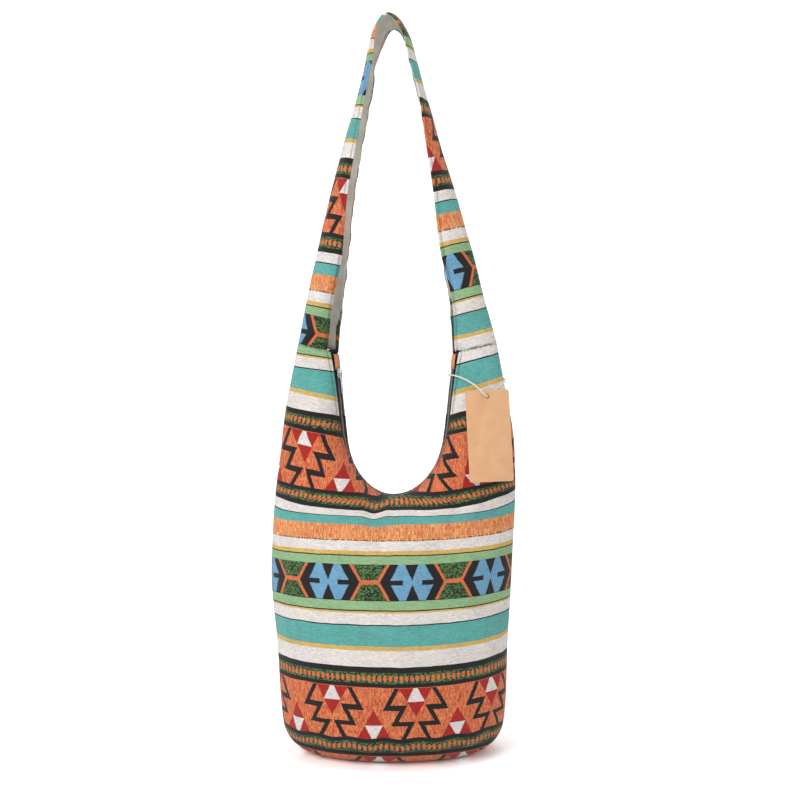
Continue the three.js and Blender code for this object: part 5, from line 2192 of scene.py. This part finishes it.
@dataclass
class Studio:
    """A pale floor that rises into the backdrop, soft lamps and the camera."""

    camera_place: tuple[float, float, float] = (0.008, -1.4, 0.445)
    lens: float = 50.8
    horizon_shift: float = -0.0125
    floor: Colour = (0.93, 0.93, 0.93)
    seen_floor: Colour = (1.4, 1.4, 1.4)
    world_level: float = 0.62

    def camera(self) -> None:
        """Sets the camera level in front of the bag."""
        data = bpy.data.cameras.new("camera")
        data.lens = self.lens
        data.sensor_width = 36
        data.shift_y = self.horizon_shift
        camera = bpy.data.objects.new("camera", data)
        camera.location = self.camera_place
        camera.rotation_euler = (math.radians(90), 0, 0)
        bpy.context.scene.collection.objects.link(camera)
        bpy.context.scene.camera = camera

    def backdrop(self) -> Piece:
        """The floor, swept up behind the bag."""
        turns = np.linspace(0, math.pi / 2, 20)
        profile = [(-3.0, 0.0), (1.0, 0.0)]
        profile += [(1.6 + 1.0 * math.sin(a), 1.0 - math.cos(a)) for a in turns]
        profile += [(2.6, 3.5)]
        points = [(x, y, z) for y, z in profile for x in (-4.0, 4.0)]
        faces = [(2 * i, 2 * i + 1, 2 * i + 3, 2 * i + 2) for i in range(len(profile) - 1)]
        mesh = bpy.data.meshes.new("backdrop")
        mesh.from_pydata(points, [], faces)
        mesh.polygons.foreach_set("use_smooth", [True] * len(mesh.polygons))
        piece = bpy.data.objects.new("backdrop", mesh)
        bpy.context.scene.collection.objects.link(piece)
        graph = Graph("studio_paper")
        path = graph.node("ShaderNodeLightPath")
        seen = Signal(graph, path.outputs["Is Camera Ray"])
        colour = graph.mix(seen, self.floor, self.seen_floor)
        mesh.materials.append(graph.finish({
            "Base Color": colour,
            "Roughness": 0.95,
            "Specular IOR Level": 0.0,
        }))
        return piece

    def world(self) -> None:
        """A plain pale surrounding."""
        world = bpy.data.worlds.new("surrounding")
        world.use_nodes = True
        tree = world.node_tree
        tree.nodes.clear()
        path = tree.nodes.new("ShaderNodeLightPath")
        mix = tree.nodes.new("ShaderNodeMath")
        mix.operation = "MULTIPLY_ADD"
        mix.inputs[1].default_value = 1.0 - self.world_level
        mix.inputs[2].default_value = self.world_level
        tree.links.new(path.outputs["Is Camera Ray"], mix.inputs[0])
        light = tree.nodes.new("ShaderNodeBackground")
        light.inputs[0].default_value = (1.0, 1.0, 1.0, 1.0)
        tree.links.new(mix.outputs[0], light.inputs[1])
        output = tree.nodes.new("ShaderNodeOutputWorld")
        tree.links.new(light.outputs[0], output.inputs[0])
        bpy.context.scene.world = world

    def lamp(self, name: str, place: Vector, aim: Vector, size: float, power: float) -> None:
        """One soft square lamp, aimed at a point."""
        data = bpy.data.lights.new(name, "AREA")
        data.size = size
        data.energy = power
        lamp = bpy.data.objects.new(name, data)
        lamp.location = place
        lamp.rotation_euler = (aim - place).to_track_quat("-Z", "Y").to_euler()
        bpy.context.scene.collection.objects.link(lamp)

    def light(self) -> None:
        """The key from the front left, a weak fill, and one from above."""
        aim = Vector((0, 0, 0.42))
        self.lamp("key", Vector((-1.5, -1.7, 1.7)), aim, 1.6, 38)
        self.lamp("fill", Vector((1.6, -1.8, 0.9)), aim, 1.8, 6)
        self.lamp("top", Vector((0.2, 0.3, 2.4)), aim, 1.4, 12)
        bpy.context.scene.view_settings.view_transform = "Standard"


def main() -> None:
    """Builds the whole bag round its frame."""
    logging.basicConfig(level=logging.INFO, format="%(message)s")
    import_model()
    form = BagForm()
    finishes = Wardrobe()
    studio = Studio()
    studio.camera()
    studio.world()
    studio.light()
    studio.backdrop()
    make_tag(form, finishes)
    make_body(form, finishes)
    make_zip(form, finishes)


def make_tag(form: BagForm, finishes: Wardrobe) -> None:
    """The card on its cord."""
    tag = HangTag(form)
    string, path = tag.string("kraft_tag_string")
    dress(string, finishes.cord, "cord")
    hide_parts("tag_cord")
    tag.cord * MM  # fmt: skip
    card = tag.card("kraft_tag_card")
    dress(card, finishes.kraft, "kraft")
    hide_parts("hang_tag")


def make_body(form: BagForm, finishes: Wardrobe) -> None:
    """Panels, base, strap, their linings and their stitching."""
    body, strap = Body(form), Strap(form)
    for face in Face:
        word = face.name.lower()
        panel = body.panel(face, f"{word}_jacquard_panel")
        dress(panel, finishes.jacquard, "jacquard")
        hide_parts(f"{word}_panel")
        inner = body.lining_panel(face, f"{word}_cotton_lining")
        dress(inner, finishes.lining, "lining")
        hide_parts(f"{word}_lining")
    dish = body.base(0.0, form.cloth, "base_jacquard_panel", 24)
    dress(dish, finishes.jacquard, "jacquard")
    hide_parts("base_panel")
    floor = body.base(body.lining_inset, form.lining, "base_cotton_lining")
    dress(floor, finishes.lining, "lining")
    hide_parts("base_lining")
    for side in Side:
        word = side.name.lower()
        strip = strap.strip(side, f"strap_{word}_jacquard")
        dress(strip, finishes.jacquard, "jacquard")
        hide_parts(f"strap_outer_{word}")
        inner = strap.lining(side, f"strap_{word}_cotton")
        dress(inner, finishes.lining, "lining")
        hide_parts(f"strap_lining_{word}")
    thread = body.topstitch.sew("topstitching", body.sewn + strap.sewn)
    dress(thread, finishes.thread, "jacquard")


def make_zip(form: BagForm, finishes: Wardrobe) -> None:
    """Tapes, coils, slider, pull and end tabs."""
    fastener = Zip(form)
    for face in Face:
        word = face.name.lower()
        tape = fastener.tape(face, f"zip_{word}_tape")
        dress(tape, finishes.tape, "tape")
        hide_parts(f"zipper_tape_{word}")
        coil = fastener.coil(face, f"zip_{word}_coil")
        dress(coil, finishes.coil, "coil")
        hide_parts(f"zipper_coil_{word}")
    for side in Side:
        word = side.name.lower()
        tab = fastener.tab(side, f"zip_end_tab_{word}_cloth")
        dress(tab, finishes.jacquard, "jacquard")
        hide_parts(f"zipper_end_tab_{word}")
        end = fastener.end(side, f"zip_end_roll_{word}")
        dress(end, finishes.tape, "tape")
    slider = fastener.slider("zip_slider_body")
    dress(slider, finishes.metal, "metal", "slider")
    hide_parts("zipper_slider")
    pull = fastener.pull("zip_pull_tongue")
    dress(pull, finishes.metal, "metal", "pull")
    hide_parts("zipper_pull")


if __name__ == "__main__":
    main()
